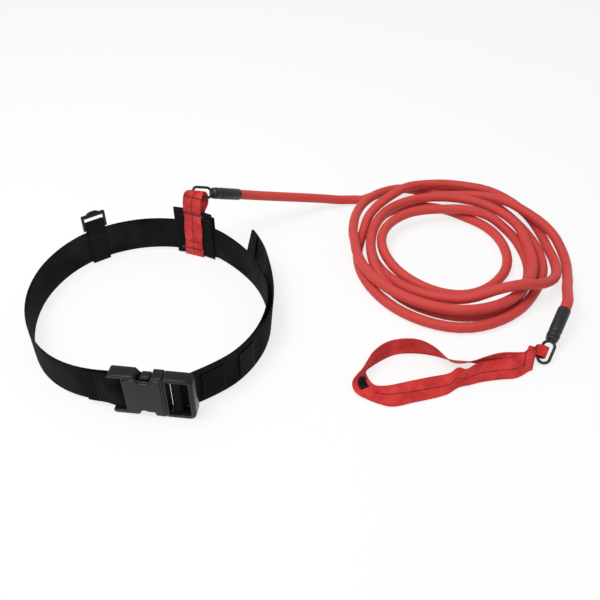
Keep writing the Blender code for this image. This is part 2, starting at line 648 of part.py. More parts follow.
PANEL_OFFSET = BELT_THICK / 2 + PANEL_PLAY + PANEL_THICK / 2
RUN_OFFSET = PANEL_OFFSET + PANEL_THICK / 2 + GAP + RED_THICK / 2
# The red strap's loop, as (along the belt, outward from the belt, height, width, turn of its
# width towards the ring, tilt of its width), in millimetres and degrees, from the foot of the inner
# run over the ring's lower side and down the outer face
TETHER_TOP = [(0, -5.3, 85.4, 27, 1, -1), (1.4, -5.9, 94.9, 26.5, 6, -4),
              (3.8, -5.4, 103.3, 25.5, 12, -11), (6.1, -1.8, 108.4, 22.5, 31, -19),
              (10.2, 5.8, 105.9, 15, 54, -24), (11.8, 11.4, 100.8, 11.5, 64, -25),
              (10.2, 15.8, 94.4, 12, 60, -23), (6.2, 15.5, 87.8, 18, 45, -18),
              (2.8, 10.5, 82, 25, 23, -10), (0.8, 6.4, 75.8, 27, 6, -2)]


def build_slider(parts):
    """Inner and outer panel with the belt between them, and the red strap round both."""
    arc_panel("slider_inner_panel", -PANEL_OFFSET, PANEL_THICK, PANEL_FOOT, SLIDER_HEIGHT, parts)
    arc_panel("slider_outer_panel", PANEL_OFFSET, PANEL_THICK, PANEL_FOOT, SLIDER_HEIGHT - 8 * MM,
              parts)
    _, heading = on_belt(SLIDER_AT)
    origin, _ = on_belt(SLIDER_AT)
    along = Vector((math.cos(heading), math.sin(heading), 0))
    out = Vector((-math.sin(heading), math.cos(heading), 0))
    foot = PANEL_FOOT - GAP - RED_THICK / 2 - 0.05 * MM
    run = RUN_OFFSET / MM
    bow = (RED_WIDTH / 2) ** 2 / 2 / BELT_RUNS[4][1] / MM  # how far the panels curve away
    top = SLIDER_HEIGHT / MM
    rows = [(0, 0, foot / MM, 27, 0, 0), (0, 0.3 - run - bow, foot / MM, 27, 0, 0)]
    rows += [(0, -run - bow, z, 27, 0, 0) for z in (foot / MM + 0.4, 12, 28, 45, 62, top - 1)]
    rows += [(t, n, z + top - 77, *rest) for t, n, z, *rest in TETHER_TOP]
    rows += [(0, run, z, 27, 0, 0) for z in (top - 8, 56, 40, 24, 10, foot / MM + 0.4)]
    rows += [(0, run - 0.3, foot / MM, 27, 0, 0)]
    first, second = [], []
    for t, n, z, width, turn, tilt in rows:
        centre = origin + (along * t + out * n) * MM + Vector((0, 0, z * MM))
        turn, tilt = math.radians(turn), math.radians(tilt)
        across = (along * math.cos(turn) + out * math.sin(turn)) * math.cos(tilt)
        across += Vector((0, 0, math.sin(tilt)))
        first.append(centre - across * width * MM / 2)
        second.append(centre + across * width * MM / 2)
    band("tether_strap", first, second, RED_THICK, RED_WEB, parts, closed=True, lanes=3)


# Keeper
def build_keeper(parts, cutters):
    """A narrow strap round the belt, held by a small ladder lock with a thumb tab."""
    origin, heading = on_belt(KEEPER_AT)
    along = Vector((math.cos(heading), math.sin(heading), 0))
    out = Vector((-math.sin(heading), math.cos(heading), 0))
    bow = (KEEPER_WIDTH / 2) ** 2 / 2 / BELT_RUNS[3][1]  # how far the belt curves away
    origin -= out * bow / 2
    near = BELT_THICK / 2 + 0.5 * MM + KEEPER_THICK / 2 + bow / 2
    wide = 4.1 * MM
    foot = 0.1 * MM + KEEPER_THICK / 2
    over = 1.7 * MM + GAP + KEEPER_THICK / 2
    run = [(0, foot), (-near * 0.8, foot), (-near, foot + 1.4 * MM), (-near, 20 * MM),
           (-near, LOCK_BAR_Z - 27 * MM), (-near - 0.6 * MM, LOCK_BAR_Z - 14 * MM),
           (-wide, LOCK_BAR_Z - 9 * MM), (-wide, LOCK_BAR_Z - 4 * MM)]
    arc = [(-over * math.cos(a) * 1.25, LOCK_BAR_Z + over * math.sin(a))
           for a in (math.pi * k / 8 for k in range(1, 8))]
    rest = [(-y, z) for y, z in reversed(run[1:])]
    rows = run + arc + rest
    half = KEEPER_WIDTH / 2
    low = [origin + out * y + Vector((0, 0, z)) - along * half for y, z in rows]
    high = [origin + out * y + Vector((0, 0, z)) + along * half for y, z in rows]
    band("keeper_strap", low, high, KEEPER_THICK, BLACK_WEB, parts, closed=True)

    side = LOCK_WIDTH / 2
    foot_z, top_z = -10 * MM, LOCK_HEIGHT - 12.5 * MM
    tab = [(9 * MM * math.cos(a), top_z + 3.6 * MM * math.sin(a))
           for a in (math.pi * k / 8 for k in range(9))]
    outline = [(side, foot_z), (side, top_z - 1 * MM), (side - 1 * MM, top_z)] + tab
    outline += [(1 * MM - side, top_z), (-side, top_z - 1 * MM), (-side, foot_z)]
    lock = plate("keeper_lock", outline, -LOCK_DEPTH / 2, LOCK_DEPTH / 2, PLASTIC, parts, 0.8 * MM)
    clear = side - LOCK_RAIL
    upper = box("lock_upper_slot", (-clear, -5 * MM, 1.4 * MM), (clear, 5 * MM, top_z - 4.6 * MM),
                PLASTIC, cutters)
    lower = box("lock_lower_slot", (-clear, -5 * MM, foot_z + 3 * MM), (clear, 5 * MM, -1.4 * MM),
                PLASTIC, cutters)
    boolean(lock, upper, "DIFFERENCE")
    boolean(lock, lower, "DIFFERENCE")
    for helper in (upper, lower):
        helper.parent = lock
    stand = Matrix.Translation(origin + Vector((0, 0, LOCK_BAR_Z)))
    lock.matrix_world = stand @ Matrix.Rotation(heading, 4, "Z")


# Tube, fittings and coil
def ring_points(centre, along, across):
    """An oblong ring: two half rounds joined by straight sides."""
    radius = (RING_WIDTH - RING_WIRE) / 2
    straight = (RING_LENGTH - RING_WIDTH) / 2
    points = []
    for side in (1, -1):
        for k in range(9):
            angle = math.pi * (k / 8 - 0.5)
            local = (side * (straight + radius * math.cos(angle)), side * radius * math.sin(angle))
            points.append(centre + along * local[0] + across * local[1])
    return points


def build_fitting(name, flange, axis, rise, parts, cutters):
    """A ring moulded with its plug, and the crimped sleeve that holds the tube on the plug."""
    across = (rise - axis * rise.dot(axis)).normalized()
    centre = flange - axis * (RING_LENGTH / 2 + 0.8 * MM)
    ring = pipe(name + "_ring", ring_points(centre, axis, across), RING_WIRE / 2, 2, FITTING, parts,
                cyclic=True)
    ring = frozen(ring)
    plug_radius = TUBE_DIAMETER / 2 - 0.3 * MM
    plug = turned(name + "_plug", [(FLANGE_LENGTH + PLUG_DEPTH, 0),
                                   (FLANGE_LENGTH + PLUG_DEPTH, plug_radius),
                                   (FLANGE_LENGTH, plug_radius),
                                   (FLANGE_LENGTH, FLANGE_DIAMETER / 2), (0, FLANGE_DIAMETER / 2),
                                   (-1.6 * MM, FLANGE_DIAMETER / 2 - 2.4 * MM),
                                   (-2.4 * MM, 0)], FITTING, cutters, flange, axis, 20)
    boolean(ring, plug, "UNION")
    bore = TUBE_DIAMETER / 2 + GAP
    outer = SLEEVE_DIAMETER / 2
    start = FLANGE_LENGTH + GAP
    end = start + SLEEVE_LENGTH
    turned(name + "_sleeve", [
        (end, bore), (end, bore + SLEEVE_WALL * 0.55), (end - 1 * MM, outer),
        (start + 9.6 * MM, outer), (start + 8.4 * MM, outer - 0.6 * MM),
        (start + 6.6 * MM, outer - 0.6 * MM), (start + 5.4 * MM, outer), (start + 1 * MM, outer),
        (start, outer - 0.5 * MM), (start, bore), (end, bore)], FITTING, parts, flange, axis, 20)
    return centre, across


def tube_in_sleeve(flange, axis):
    """The tube's straight run from the plug through the sleeve and half a diameter past it."""
    first = FLANGE_LENGTH + PLUG_DEPTH + GAP
    mouth = FLANGE_LENGTH + GAP + SLEEVE_LENGTH
    steps = (first, (first + mouth) / 2, mouth, mouth + TUBE_DIAMETER / 2)
    return [tuple(flange + axis * step) for step in steps]


def coil_route():
    """The coil's centre line, LOOP_POINTS to a turn."""
    first, last = COIL_STATIONS[0][0], COIL_STATIONS[-1][0]
    count = round((last - first) / 360 * LOOP_POINTS)
    points = []
    for k in range(count + 1):
        angle = first + (last - first) * k / count
        reach, height = smooth(COIL_STATIONS, angle)
        turn = math.radians(angle)
        points.append(COIL_CENTRE + Vector((-reach * math.cos(turn), reach * math.sin(turn),
                                            max(height, TUBE_DIAMETER / MM / 2))) * MM)
    return points


def least_gap(points):
    """The coil's least gap to itself, measured between stretches over 60 degrees apart."""
    dense = np.array([a.lerp(b, t) for a, b in zip(points, points[1:]) for t in (0, 0.25, 0.5, 0.75)])
    apart = LOOP_POINTS * 4 // 6
    best = 1.0
    for i in range(len(dense) - apart):
        best = min(best, np.linalg.norm(dense[i + apart:] - dense[i], axis=1).min())
    return best - TUBE_DIAMETER


def build_tube(parts):
    """The tube's free stretches and its coil, cut where the stretches meet."""
    coil = coil_route()
    lead = tube_in_sleeve(NEAR_FLANGE, NEAR_AXIS) + [tuple(Vector(p) * MM) for p in LEAD_ROUTE]
    lead_in = (coil[1] - coil[0]).normalized()
    lead += [tuple(coil[0] - lead_in * d) for d in (TUBE_DIAMETER / 2, GAP)]
    route = through(lead, 3)
    pipe("tube_lead", route, TUBE_DIAMETER / 2, 2, TUBE_RUBBER, parts)
    pipe("tube_coil", coil, TUBE_DIAMETER / 2, 1, TUBE_RUBBER, parts)
    lead_out = (coil[-1] - coil[-2]).normalized()
    tail = [tuple(coil[-1] + lead_out * d) for d in (GAP, TUBE_DIAMETER / 2)]
    tail += [tuple(Vector(p) * MM) for p in END_ROUTE]
    tail = through(tail + tube_in_sleeve(FAR_FLANGE, FAR_AXIS)[::-1], 3)
    pipe("tube_end", tail, TUBE_DIAMETER / 2, 2, TUBE_RUBBER, parts)
    whole = lead_length(route) + lead_length(coil) + lead_length(tail)
    print(f"tube length {whole:.3f} m, coil's least gap {least_gap(coil) / MM:.2f} mm")


def lead_length(points):
    return sum((b - a).length for a, b in zip(points, points[1:]))


# Hand strap
def build_hand_strap(parts, ring_centre, across):
    """One red strap, rolled over at its left end, its doubled end through the far ring."""
    up = across.cross(FAR_AXIS).normalized()
    if up.z < 0:
        up.negate()
    rows = [(k, *pair[0], *pair[1]) for k, pair in enumerate(HAND_STRAP_EDGES)]
    steps = [smooth(rows, k / 2) * MM for k in range(2 * len(rows) - 1)]
    first = [Vector(step[:3]) for step in steps]
    second = [Vector(step[3:]) for step in steps]
    for upper, lower, side, height in HAND_STRAP_LOOP:
        centre = ring_centre + (across * side + up * height) * MM
        first.append(centre + FAR_AXIS * upper * MM)
        second.append(centre + FAR_AXIS * lower * MM)
    band("hand_strap", first, second, RED_THICK, RED_WEB, parts, lanes=3)

    stand = RED_THICK / 2 + 2 * GAP + HAND_PATCH_THICK / 2
    low, high = HAND_PATCH_ROWS
    edges = ([], [])
    for k in range(5):
        at = low + (high - low) * k / 4
        before, here, after = (smooth(rows, at + d) * MM for d in (-0.1, 0, 0.1))
        right, left = Vector(here[:3]), Vector(here[3:])
        for edge, share in zip(edges, HAND_PATCH_SPAN):
            along = (Vector(after[:3]).lerp(Vector(after[3:]), share)
                     - Vector(before[:3]).lerp(Vector(before[3:]), share))
            face = (left - right).cross(along).normalized()
            if face.z < 0:
                face.negate()
            edge.append(right.lerp(left, share) + face * stand)
    band("hand_strap_patch", *edges, HAND_PATCH_THICK, BLACK_WEB, parts, lanes=2)


def main():
    clear_scene()
    parts = new_collection("swim resistance belt")
    cutters = new_collection("cutters")
    cutters.hide_render = True
    build_belt(parts)
    build_front_run(parts)
    build_tail(parts)
    build_patches(parts)
    build_buckle_female(parts, cutters)
    build_buckle_male(parts, cutters)
    build_slider(parts)
    build_keeper(parts, cutters)
    build_fitting("near", NEAR_FLANGE, NEAR_AXIS, NEAR_RISE, parts, cutters)
    ring = build_fitting("far", FAR_FLANGE, FAR_AXIS, FAR_RISE, parts, cutters)
    build_hand_strap(parts, *ring)
    build_tube(parts)
    bpy.context.view_layer.update()
    for made in [*parts.objects, *cutters.objects]:
        if made.parent is None:
            made.matrix_world = Matrix.Translation(TO_ORIGIN) @ made.matrix_world


main()
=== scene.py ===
import functools
import math

import bmesh
import bpy
import numpy as np
from mathutils import Matrix, Vector


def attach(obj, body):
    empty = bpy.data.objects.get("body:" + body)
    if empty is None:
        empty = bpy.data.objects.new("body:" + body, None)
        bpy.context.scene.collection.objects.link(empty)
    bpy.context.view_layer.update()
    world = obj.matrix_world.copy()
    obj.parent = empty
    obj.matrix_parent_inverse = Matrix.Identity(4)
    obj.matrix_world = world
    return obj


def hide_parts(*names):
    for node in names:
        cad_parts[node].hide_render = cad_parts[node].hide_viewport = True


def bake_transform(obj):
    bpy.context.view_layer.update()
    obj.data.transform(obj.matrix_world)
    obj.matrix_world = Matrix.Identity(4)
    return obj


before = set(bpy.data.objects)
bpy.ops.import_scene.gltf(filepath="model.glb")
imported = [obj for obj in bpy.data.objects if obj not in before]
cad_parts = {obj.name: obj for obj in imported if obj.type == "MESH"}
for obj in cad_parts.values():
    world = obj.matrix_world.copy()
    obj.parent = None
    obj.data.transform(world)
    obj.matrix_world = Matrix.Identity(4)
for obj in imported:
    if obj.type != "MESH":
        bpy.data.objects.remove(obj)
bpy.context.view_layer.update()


# ---- Camera, floor and light -----------------------------
# The belt lies on a white sweep that reads as plain white but keeps a soft shadow. The camera
# stands 645 mm over it and looks down by 40 degrees; one broad lamp hangs high on the left and a
# white room fills the shade.
def placed(name, data):
    made = bpy.data.objects.new(name, data)
    bpy.context.scene.collection.objects.link(made)
    return made


camera = placed("camera", bpy.data.cameras.new("camera"))
camera.data.sensor_width = 36
camera.data.lens = 44.04
camera.location = (0.0185, -0.712, 0.645)
camera.rotation_euler = (math.radians(49.6), 0, 0)
bpy.context.scene.camera = camera

lamp = placed("softbox", bpy.data.lights.new("softbox", "AREA"))
lamp.data.shape = "RECTANGLE"
lamp.data.size = 1.1
lamp.data.size_y = 0.8
lamp.data.energy = 20
lamp.location = (-0.55, -0.25, 1.7)
aim = Vector((0.02, 0.0, 0.0)) - lamp.location
lamp.rotation_euler = aim.to_track_quat("-Z", "Y").to_euler()

bpy.context.scene.view_settings.view_transform = "Standard"


def wire(source, target):
    source.id_data.links.new(source, target)


def sums(kind, *terms):
    """A Math node on sockets and numbers; gives its output."""
    sockets = [term for term in terms if not isinstance(term, (int, float))]
    node = sockets[0].id_data.nodes.new("ShaderNodeMath")
    node.operation = kind
    for socket, term in zip(node.inputs, terms):
        if isinstance(term, (int, float)):
            socket.default_value = term
        else:
            wire(term, socket)
    return node.outputs[0]


times, plus, less = (functools.partial(sums, kind) for kind in ("MULTIPLY", "ADD", "SUBTRACT"))


def blended(share, first, second):
    """A colour between two, by a share from 0 to 1."""
    node = share.id_data.nodes.new("ShaderNodeMix")
    node.data_type = "RGBA"
    wire(share, node.inputs["Factor"])
    for socket, term in ((node.inputs[6], first), (node.inputs[7], second)):
        if isinstance(term, tuple):
            socket.default_value = (*term, 1)
        else:
            wire(term, socket)
    return node.outputs[2]


room = bpy.data.worlds.new("white room")
room.use_nodes = True
tree = room.node_tree
air = tree.nodes["Background"]
air.inputs["Color"].default_value = (1, 1, 1, 1)
rays = tree.nodes.new("ShaderNodeLightPath")
seen = sums("MAXIMUM", rays.outputs["Is Camera Ray"], rays.outputs["Is Transmission Ray"])
wire(plus(0.55, times(seen, 0.45)), air.inputs["Strength"])
bpy.context.scene.world = room

floor_mesh = bpy.data.meshes.new("floor")
REACH, FLOOR_LEVEL = 9.0, -0.0004
floor_mesh.from_pydata([(x * REACH, y * REACH, FLOOR_LEVEL) for x, y in
                        ((-1, -1), (1, -1), (1, 1), (-1, 1))], [], [(0, 1, 2, 3)])
floor = placed("floor", floor_mesh)
paper = bpy.data.materials.new("white paper")
paper.use_nodes = True
tree = paper.node_tree
tree.nodes.remove(tree.nodes["Principled BSDF"])
matte = tree.nodes.new("ShaderNodeBsdfDiffuse")
matte.inputs["Color"].default_value = (0.93, 0.93, 0.93, 1)
glow = tree.nodes.new("ShaderNodeEmission")
glow.inputs["Color"].default_value = (1, 1, 1, 1)
rays = tree.nodes.new("ShaderNodeLightPath")
seen = sums("MAXIMUM", rays.outputs["Is Camera Ray"],
            sums("MAXIMUM", rays.outputs["Is Glossy Ray"], rays.outputs["Is Transmission Ray"]))
both = tree.nodes.new("ShaderNodeMixShader")
wire(times(seen, 0.76), both.inputs[0])
wire(matte.outputs[0], both.inputs[1])
wire(glow.outputs[0], both.inputs[2])
wire(both.outputs[0], tree.nodes["Material Output"].inputs["Surface"])
floor_mesh.materials.append(paper)


# ---- Red elastic tube ------------------------------------
# One length of 14 mm surgical rubber tube in a woven red sheath, from the near fitting to the coil
# on the floor and on to the far fitting. Its route is the one that the solids follow.
def site(x, y, z):
    """A place on the part from its drawing, in millimetres."""
    return Vector(((x - 5.5) * 0.001, (y + 4) * 0.001, z * 0.001))


def curved(t, span, begin, end, leave, arrive):
    """The smooth curve from begin to end, at t from 0 to 1, by its ways out and in."""
    return ((2 * t**3 - 3 * t**2 + 1) * begin + (t**3 - 2 * t**2 + t) * span * leave
            + (3 * t**2 - 2 * t**3) * end + (t**3 - t**2) * span * arrive)


def smooth(stations, at):
    """Values at `at` on a smooth curve through stations of (position, value, value, ...)."""
    rows = np.array(stations, float)
    place, values = rows[:, 0], rows[:, 1:]
    slopes = np.gradient(values, place, axis=0)
    i = int(np.clip(np.searchsorted(place, at, side="right") - 1, 0, len(rows) - 2))
    span = place[i + 1] - place[i]
    return curved((at - place[i]) / span, span, values[i], values[i + 1], slopes[i],
                  slopes[i + 1])


def run_along(points):
    """The distance gone at each point of a route."""
    steps = np.diff(np.array(points, float), axis=0)
    return np.concatenate([[0], np.cumsum(np.linalg.norm(steps, axis=1))])


def through(points, pieces):
    """A smooth route through points, with `pieces` steps between each pair."""
    run = run_along(points)
    rows = [(r, *p) for r, p in zip(run, points)]
    found = [smooth(rows, a + (b - a) * k / pieces)
             for a, b in zip(run, run[1:]) for k in range(pieces)]
    return found + [np.array(points[-1], float)]


def mesh_piece(name, points, faces, finish, uvs=()):
    """A closed mesh object at the origin, smooth shaded, with an optional map for its weave."""
    mesh = bpy.data.meshes.new(name)
    mesh.from_pydata([tuple(p) for p in points], [], faces)
    if uvs:
        layer = mesh.uv_layers.new(name="weave")
        for loop, pair in zip(layer.data, (pair for face in uvs for pair in face)):
            loop.uv = pair
    mesh.polygons.foreach_set("use_smooth", [True] * len(mesh.polygons))
    mesh.materials.append(finish)
    mesh.update()
    made = placed(name, mesh)
    return made


def faced_out(made, merge=0.0):
    """Turns every face outwards, once corners nearer than `merge` metres are one."""
    work = bmesh.new()
    work.from_mesh(made.data)
    if merge:
        bmesh.ops.remove_doubles(work, verts=work.verts, dist=merge)
    bmesh.ops.recalc_face_normals(work, faces=work.faces)
    work.to_mesh(made.data)
    work.free()
    return made


def lofted(name, rings, finish, maps=None, closed=False):
    """A skin over rings of points, its ends capped unless the rings close up. The map has a
    column more than a ring has points, and a row more than there are rings if they close up."""
    count, size = len(rings), len(rings[0])
    faces, uvs = [], []
    for i in range(count if closed else count - 1):
        j = (i + 1) % count
        for k in range(size):
            m = (k + 1) % size
            faces.append((i * size + k, i * size + m, j * size + m, j * size + k))
            if maps:
                uvs.append((maps[i][k], maps[i][k + 1], maps[i + 1][k + 1], maps[i + 1][k]))
    if not closed:
        last = (count - 1) * size
        faces += [tuple(reversed(range(size))), tuple(range(last, last + size))]
        uvs += [tuple(reversed(maps[0][:-1])), tuple(maps[-1][:-1])]
    return mesh_piece(name, [p for ring in rings for p in ring], faces, finish, uvs)


def circle(middle, one, other, radius, sides):
    """Points round a middle, in the plane of two ways."""
    return [middle + (one * math.cos(turn) + other * math.sin(turn)) * radius
            for turn in (2 * math.pi * k / sides for k in range(sides))]


def tube_mesh(name, route, radius, sides, finish):
    """A round tube along a route, its ends closed; the map runs along and once round."""
    route = [Vector(p) for p in route]
    along = [(b - a).normalized() for a, b in zip(route, route[1:])]
    along = [along[0]] + [(a + b).normalized() for a, b in zip(along, along[1:])] + [along[-1]]
    side = along[0].orthogonal().normalized()
    rings = []
    for place, way in zip(route, along):
        side = (side - way * side.dot(way)).normalized()
        rings.append(circle(place, side, way.cross(side), radius, sides))
    maps = [[(gone, k / sides) for k in range(sides + 1)] for gone in run_along(route)]
    return lofted(name, rings, finish, maps)


def new_finish(name, colour, roughness, specular=0.5, sheen=0.0, sheen_roughness=0.5):
    """A fresh material and its shader."""
    made = bpy.data.materials.new(name)
    made.use_nodes = True
    shader = made.node_tree.nodes["Principled BSDF"]
    for socket, value in (("Base Color", (*colour, 1)), ("Roughness", roughness),
                          ("Specular IOR Level", specular), ("Sheen Weight", sheen),
                          ("Sheen Roughness", sheen_roughness)):
        shader.inputs[socket].default_value = value
    return made, shader


def mottle(shader, scale, detail=3.0):
    """Soft irregular patches over a piece, from 0 to 1."""
    nodes = shader.id_data.nodes
    noise = nodes.new("ShaderNodeTexNoise")
    noise.inputs["Scale"].default_value = scale
    noise.inputs["Detail"].default_value = detail
    wire(nodes.new("ShaderNodeTexCoord").outputs["Object"], noise.inputs["Vector"])
    return noise.outputs["Fac"]


def coat(shader, colour, height, depth, roughness=None):
    """Gives a finish its colour, its roughness, and a relief of `height` (0 to 1) times `depth`
    metres."""
    bump = shader.id_data.nodes.new("ShaderNodeBump")
    bump.inputs["Distance"].default_value = depth
    wire(height, bump.inputs["Height"])
    wire(bump.outputs[0], shader.inputs["Normal"])
    wire(colour, shader.inputs["Base Color"])
    if roughness:
        wire(roughness, shader.inputs["Roughness"])


def humps(value):
    """Even humps from 0 to 1, one for each whole number."""
    return sums("ABSOLUTE", sums("SINE", times(value, math.pi)))


def weave_map(shader):
    """The piece's own map: metres along it, and its second coordinate."""
    there = shader.id_data.nodes.new("ShaderNodeUVMap")
    there.uv_map = "weave"
    apart = shader.id_data.nodes.new("ShaderNodeSeparateXYZ")
    wire(there.outputs[0], apart.inputs[0])
    return apart.outputs[0], apart.outputs[1]


# Satin braided sheath: two sets of yarns that cross at a slant, in fine cross ribs
sheath, shader = new_finish("red tube sheath", (0.66, 0.06, 0.052), 0.5, 0.4, 0.05, 0.4)
u, v = weave_map(shader)
slant, pitch = times(v, 16.0), sums("DIVIDE", u, 0.0026)
yarns = times(humps(plus(pitch, slant)), humps(less(pitch, slant)))
share = times(sums("SMOOTH_MIN", mottle(shader, 38.0), 1.0, 0.1), 0.5)
deep = blended(yarns, (0.45, 0.026, 0.023), (0.76, 0.066, 0.055))
coat(shader, blended(share, deep, (0.80, 0.085, 0.070)), yarns, 0.00025,
     less(0.62, times(yarns, 0.2)))

TUBE = 14.0
NEAR_FLANGE, NEAR_AXIS = Vector((-98.7, 166.6, 91.2)), Vector((0.691, 0.589, -0.419)).normalized()
FAR_FLANGE, FAR_AXIS = Vector((337.5, -51.5, 14.2)), Vector((0.485, 0.81, 0.33)).normalized()
LEAD = [(-45.6, 212.4, 58.5), (-21, 226.5, 48), (2, 238, 39.5), (24, 248.8, 31.5),
        (55, 264, 20), (88, 275, 10.5), (112, 280.5, 7.3)]
# Degrees clockwise from the left side, reach from the centre, and the centre line's height where
# the tube is off the floor
COIL = [(*row, TUBE / 2)[:3] for row in (
    (50, 177), (60, 174), (75, 171.5), (90, 170), (105, 164.5), (120, 152), (135, 138),
    (150, 129), (180, 126), (205, 132.5), (225, 139.5), (240, 150), (255, 161), (270, 170),
    (300, 164.5), (315, 156.5), (330, 148.5), (345, 141.5), (360, 135, 7.4), (368, 131.5, 10),
    (376, 130, 15), (389, 132.5, 21), (398, 132, 26), (407, 130, 31), (416, 131, 33.5),
    (425, 136.5, 33.5), (435, 143, 30), (443, 148.5, 26), (450, 151.5, 24.5), (467, 152, 24),
    (480, 154.5, 23), (494, 154.5, 18.5), (509, 151, 13), (524, 145.5, 7.8), (538, 142),
    (554, 146, 10), (575, 152, 21), (588, 149, 31), (600, 141, 39.5), (612, 134, 36.5),
    (630, 131, 23), (660, 124, 14), (690, 118, 9), (705, 117, 7.5), (720, 116), (735, 117),
    (750, 121), (765, 126), (780, 124), (795, 116), (810, 106), (832, 90), (855, 84), (900, 79),
    (945, 88), (990, 105), (1035, 104, 13), (1080, 102, 22), (1125, 91, 22), (1170, 82, 22),
    (1200, 89, 22), (1217, 97, 17), (1232, 101.5, 9), (1260, 103), (1305, 124), (1330, 141),
    (1350, 149), (1370, 146, 7.5), (1395, 137.5, 11), (1410, 131, 18), (1425, 123, 22),
    (1440, 117.5, 22), (1455, 115.5, 22.5), (1485, 117, 22), (1530, 116, 22), (1575, 113.5, 22),
    (1597, 110.5, 22), (1620, 106, 22), (1665, 128, 22), (1690, 145, 22), (1710, 153, 22),
    (1740, 151.5, 22), (1775, 145, 22), (1790, 142, 22.4), (1800, 141, 22.8), (1808, 143.5, 22),
    (1816, 146, 21), (1827, 151.5, 20.5), (1840, 157.5, 21), (1850, 159.5, 21.5), (1860, 160, 20),
    (1869, 159.5, 17.2), (1877, 156.5, 12), (1885, 148.5, 8.5), (1891, 138.5, 11.5),
    (1898, 132.5, 16), (1906, 132, 18.5), (1920, 133.5, 24), (1932, 131, 29.5), (1941, 129.5, 33),
    (1951, 132.5, 31.5), (1960, 140, 28), (1967, 147, 24), (1974, 153.5, 18.8), (1982, 159.5, 10),
    (1992, 162.5), (2005, 165, 13), (2016, 172, 21),
)]


def coil_point(angle):
    reach, height = smooth(COIL, angle)
    turn = math.radians(angle)
    return Vector((244 - reach * math.cos(turn), 149 + reach * math.sin(turn),
                   max(height, TUBE / 2)))


def tube_route():
    """The whole centre line, from the plug of the near fitting to the plug of the far one."""
    grip = (15.3, 31.8, 48.3, 55.3)
    turns = [coil_point(a) for a in np.linspace(50, 2016, 394)]
    first, last = turns[0], turns[-1]
    lead_in = (turns[1] - first).normalized()
    lead_out = (last - turns[-2]).normalized()
    lead = [NEAR_FLANGE + NEAR_AXIS * d for d in grip] + LEAD + [first - lead_in * 7, first]
    tail = [last, last + lead_out * 7, (375, 22, 27)]
    tail += [FAR_FLANGE + FAR_AXIS * d for d in reversed(grip)]
    whole = through(lead, 5)[:-1] + turns + through(tail, 5)[1:]
    return [site(*p) for p in whole]


route = tube_route()
tube = tube_mesh("elastic_tube", route, TUBE / 2000, 20, sheath)
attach(tube, "tether")
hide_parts("tube_lead", "tube_coil", "tube_end")


# ---- End fittings of the tube ----------------------------
# A moulded oblong ring with a flange and plug, and a crimped sleeve that grips the tube on the
# plug. Hard black nylon, satin, with a groove where the crimp closes.
RING_REACH, RING_HALF_LENGTH, RING_ROUND, RING_BAR = 18.8, 9, 7.1, 1.9
NEAR_RISE, FAR_RISE = Vector((0, 0.65, 0.76)), Vector((0.86, -0.51, 0))

fitting, shader = new_finish("black fitting", (0.012, 0.012, 0.012), 0.42, 0.45)
worn = mottle(shader, 60.0)
coat(shader, blended(worn, (0.010, 0.010, 0.011), (0.022, 0.022, 0.021)),
     mottle(shader, 900.0, 2.0), 0.00004, plus(0.34, times(worn, 0.18)))


def turned(name, profile, origin, axis, steps=48):
    """A turned piece from (distance along the axis, radius); a radius of 0 is a pole."""
    turn = axis.to_track_quat("Z", "Y").to_matrix()
    points, rings = [], []
    for along, radius in profile:
        round_it = circle(origin + axis * along, turn.col[0], turn.col[1], radius, steps)
        rings.append([len(points) + (k if radius else 0) for k in range(steps)])
        points += [site(*p) for p in (round_it if radius else round_it[:1])]
    faces = [tuple(dict.fromkeys((one[k], one[(k + 1) % steps], two[(k + 1) % steps], two[k])))
             for one, two in zip(rings, rings[1:]) for k in range(steps)]
    made = faced_out(mesh_piece(name, points, faces, fitting), merge=0.000001)
    made.data.set_sharp_from_angle(angle=math.radians(38))
    return made


def swept(name, route, radius, sides):
    """A closed round bar along a closed flat route."""
    count = len(route)
    centre = sum(route, Vector()) / count
    flat = (route[0] - centre).cross(route[count // 4] - centre).normalized()
    rings = []
    for i, place in enumerate(route):
        out = (route[(i + 1) % count] - route[i - 1]).normalized().cross(flat)
        rings.append(circle(place, out, flat, radius, sides))
    return faced_out(lofted(name, rings, fitting, closed=True))


def joined(name, pieces):
    """Several meshes of one finish as one object."""
    work = bmesh.new()
    for piece in pieces:
        work.from_mesh(piece.data)
    made = pieces[0]
    work.to_mesh(made.data)
    work.free()
    for piece in pieces[1:]:
        bpy.data.objects.remove(piece, do_unlink=True)
    made.name = made.data.name = name
    return made


def ring_frame(flange, axis, rise):
    """A ring's middle, and the way across it."""
    return flange - axis * RING_REACH, (rise - axis * rise.dot(axis)).normalized()


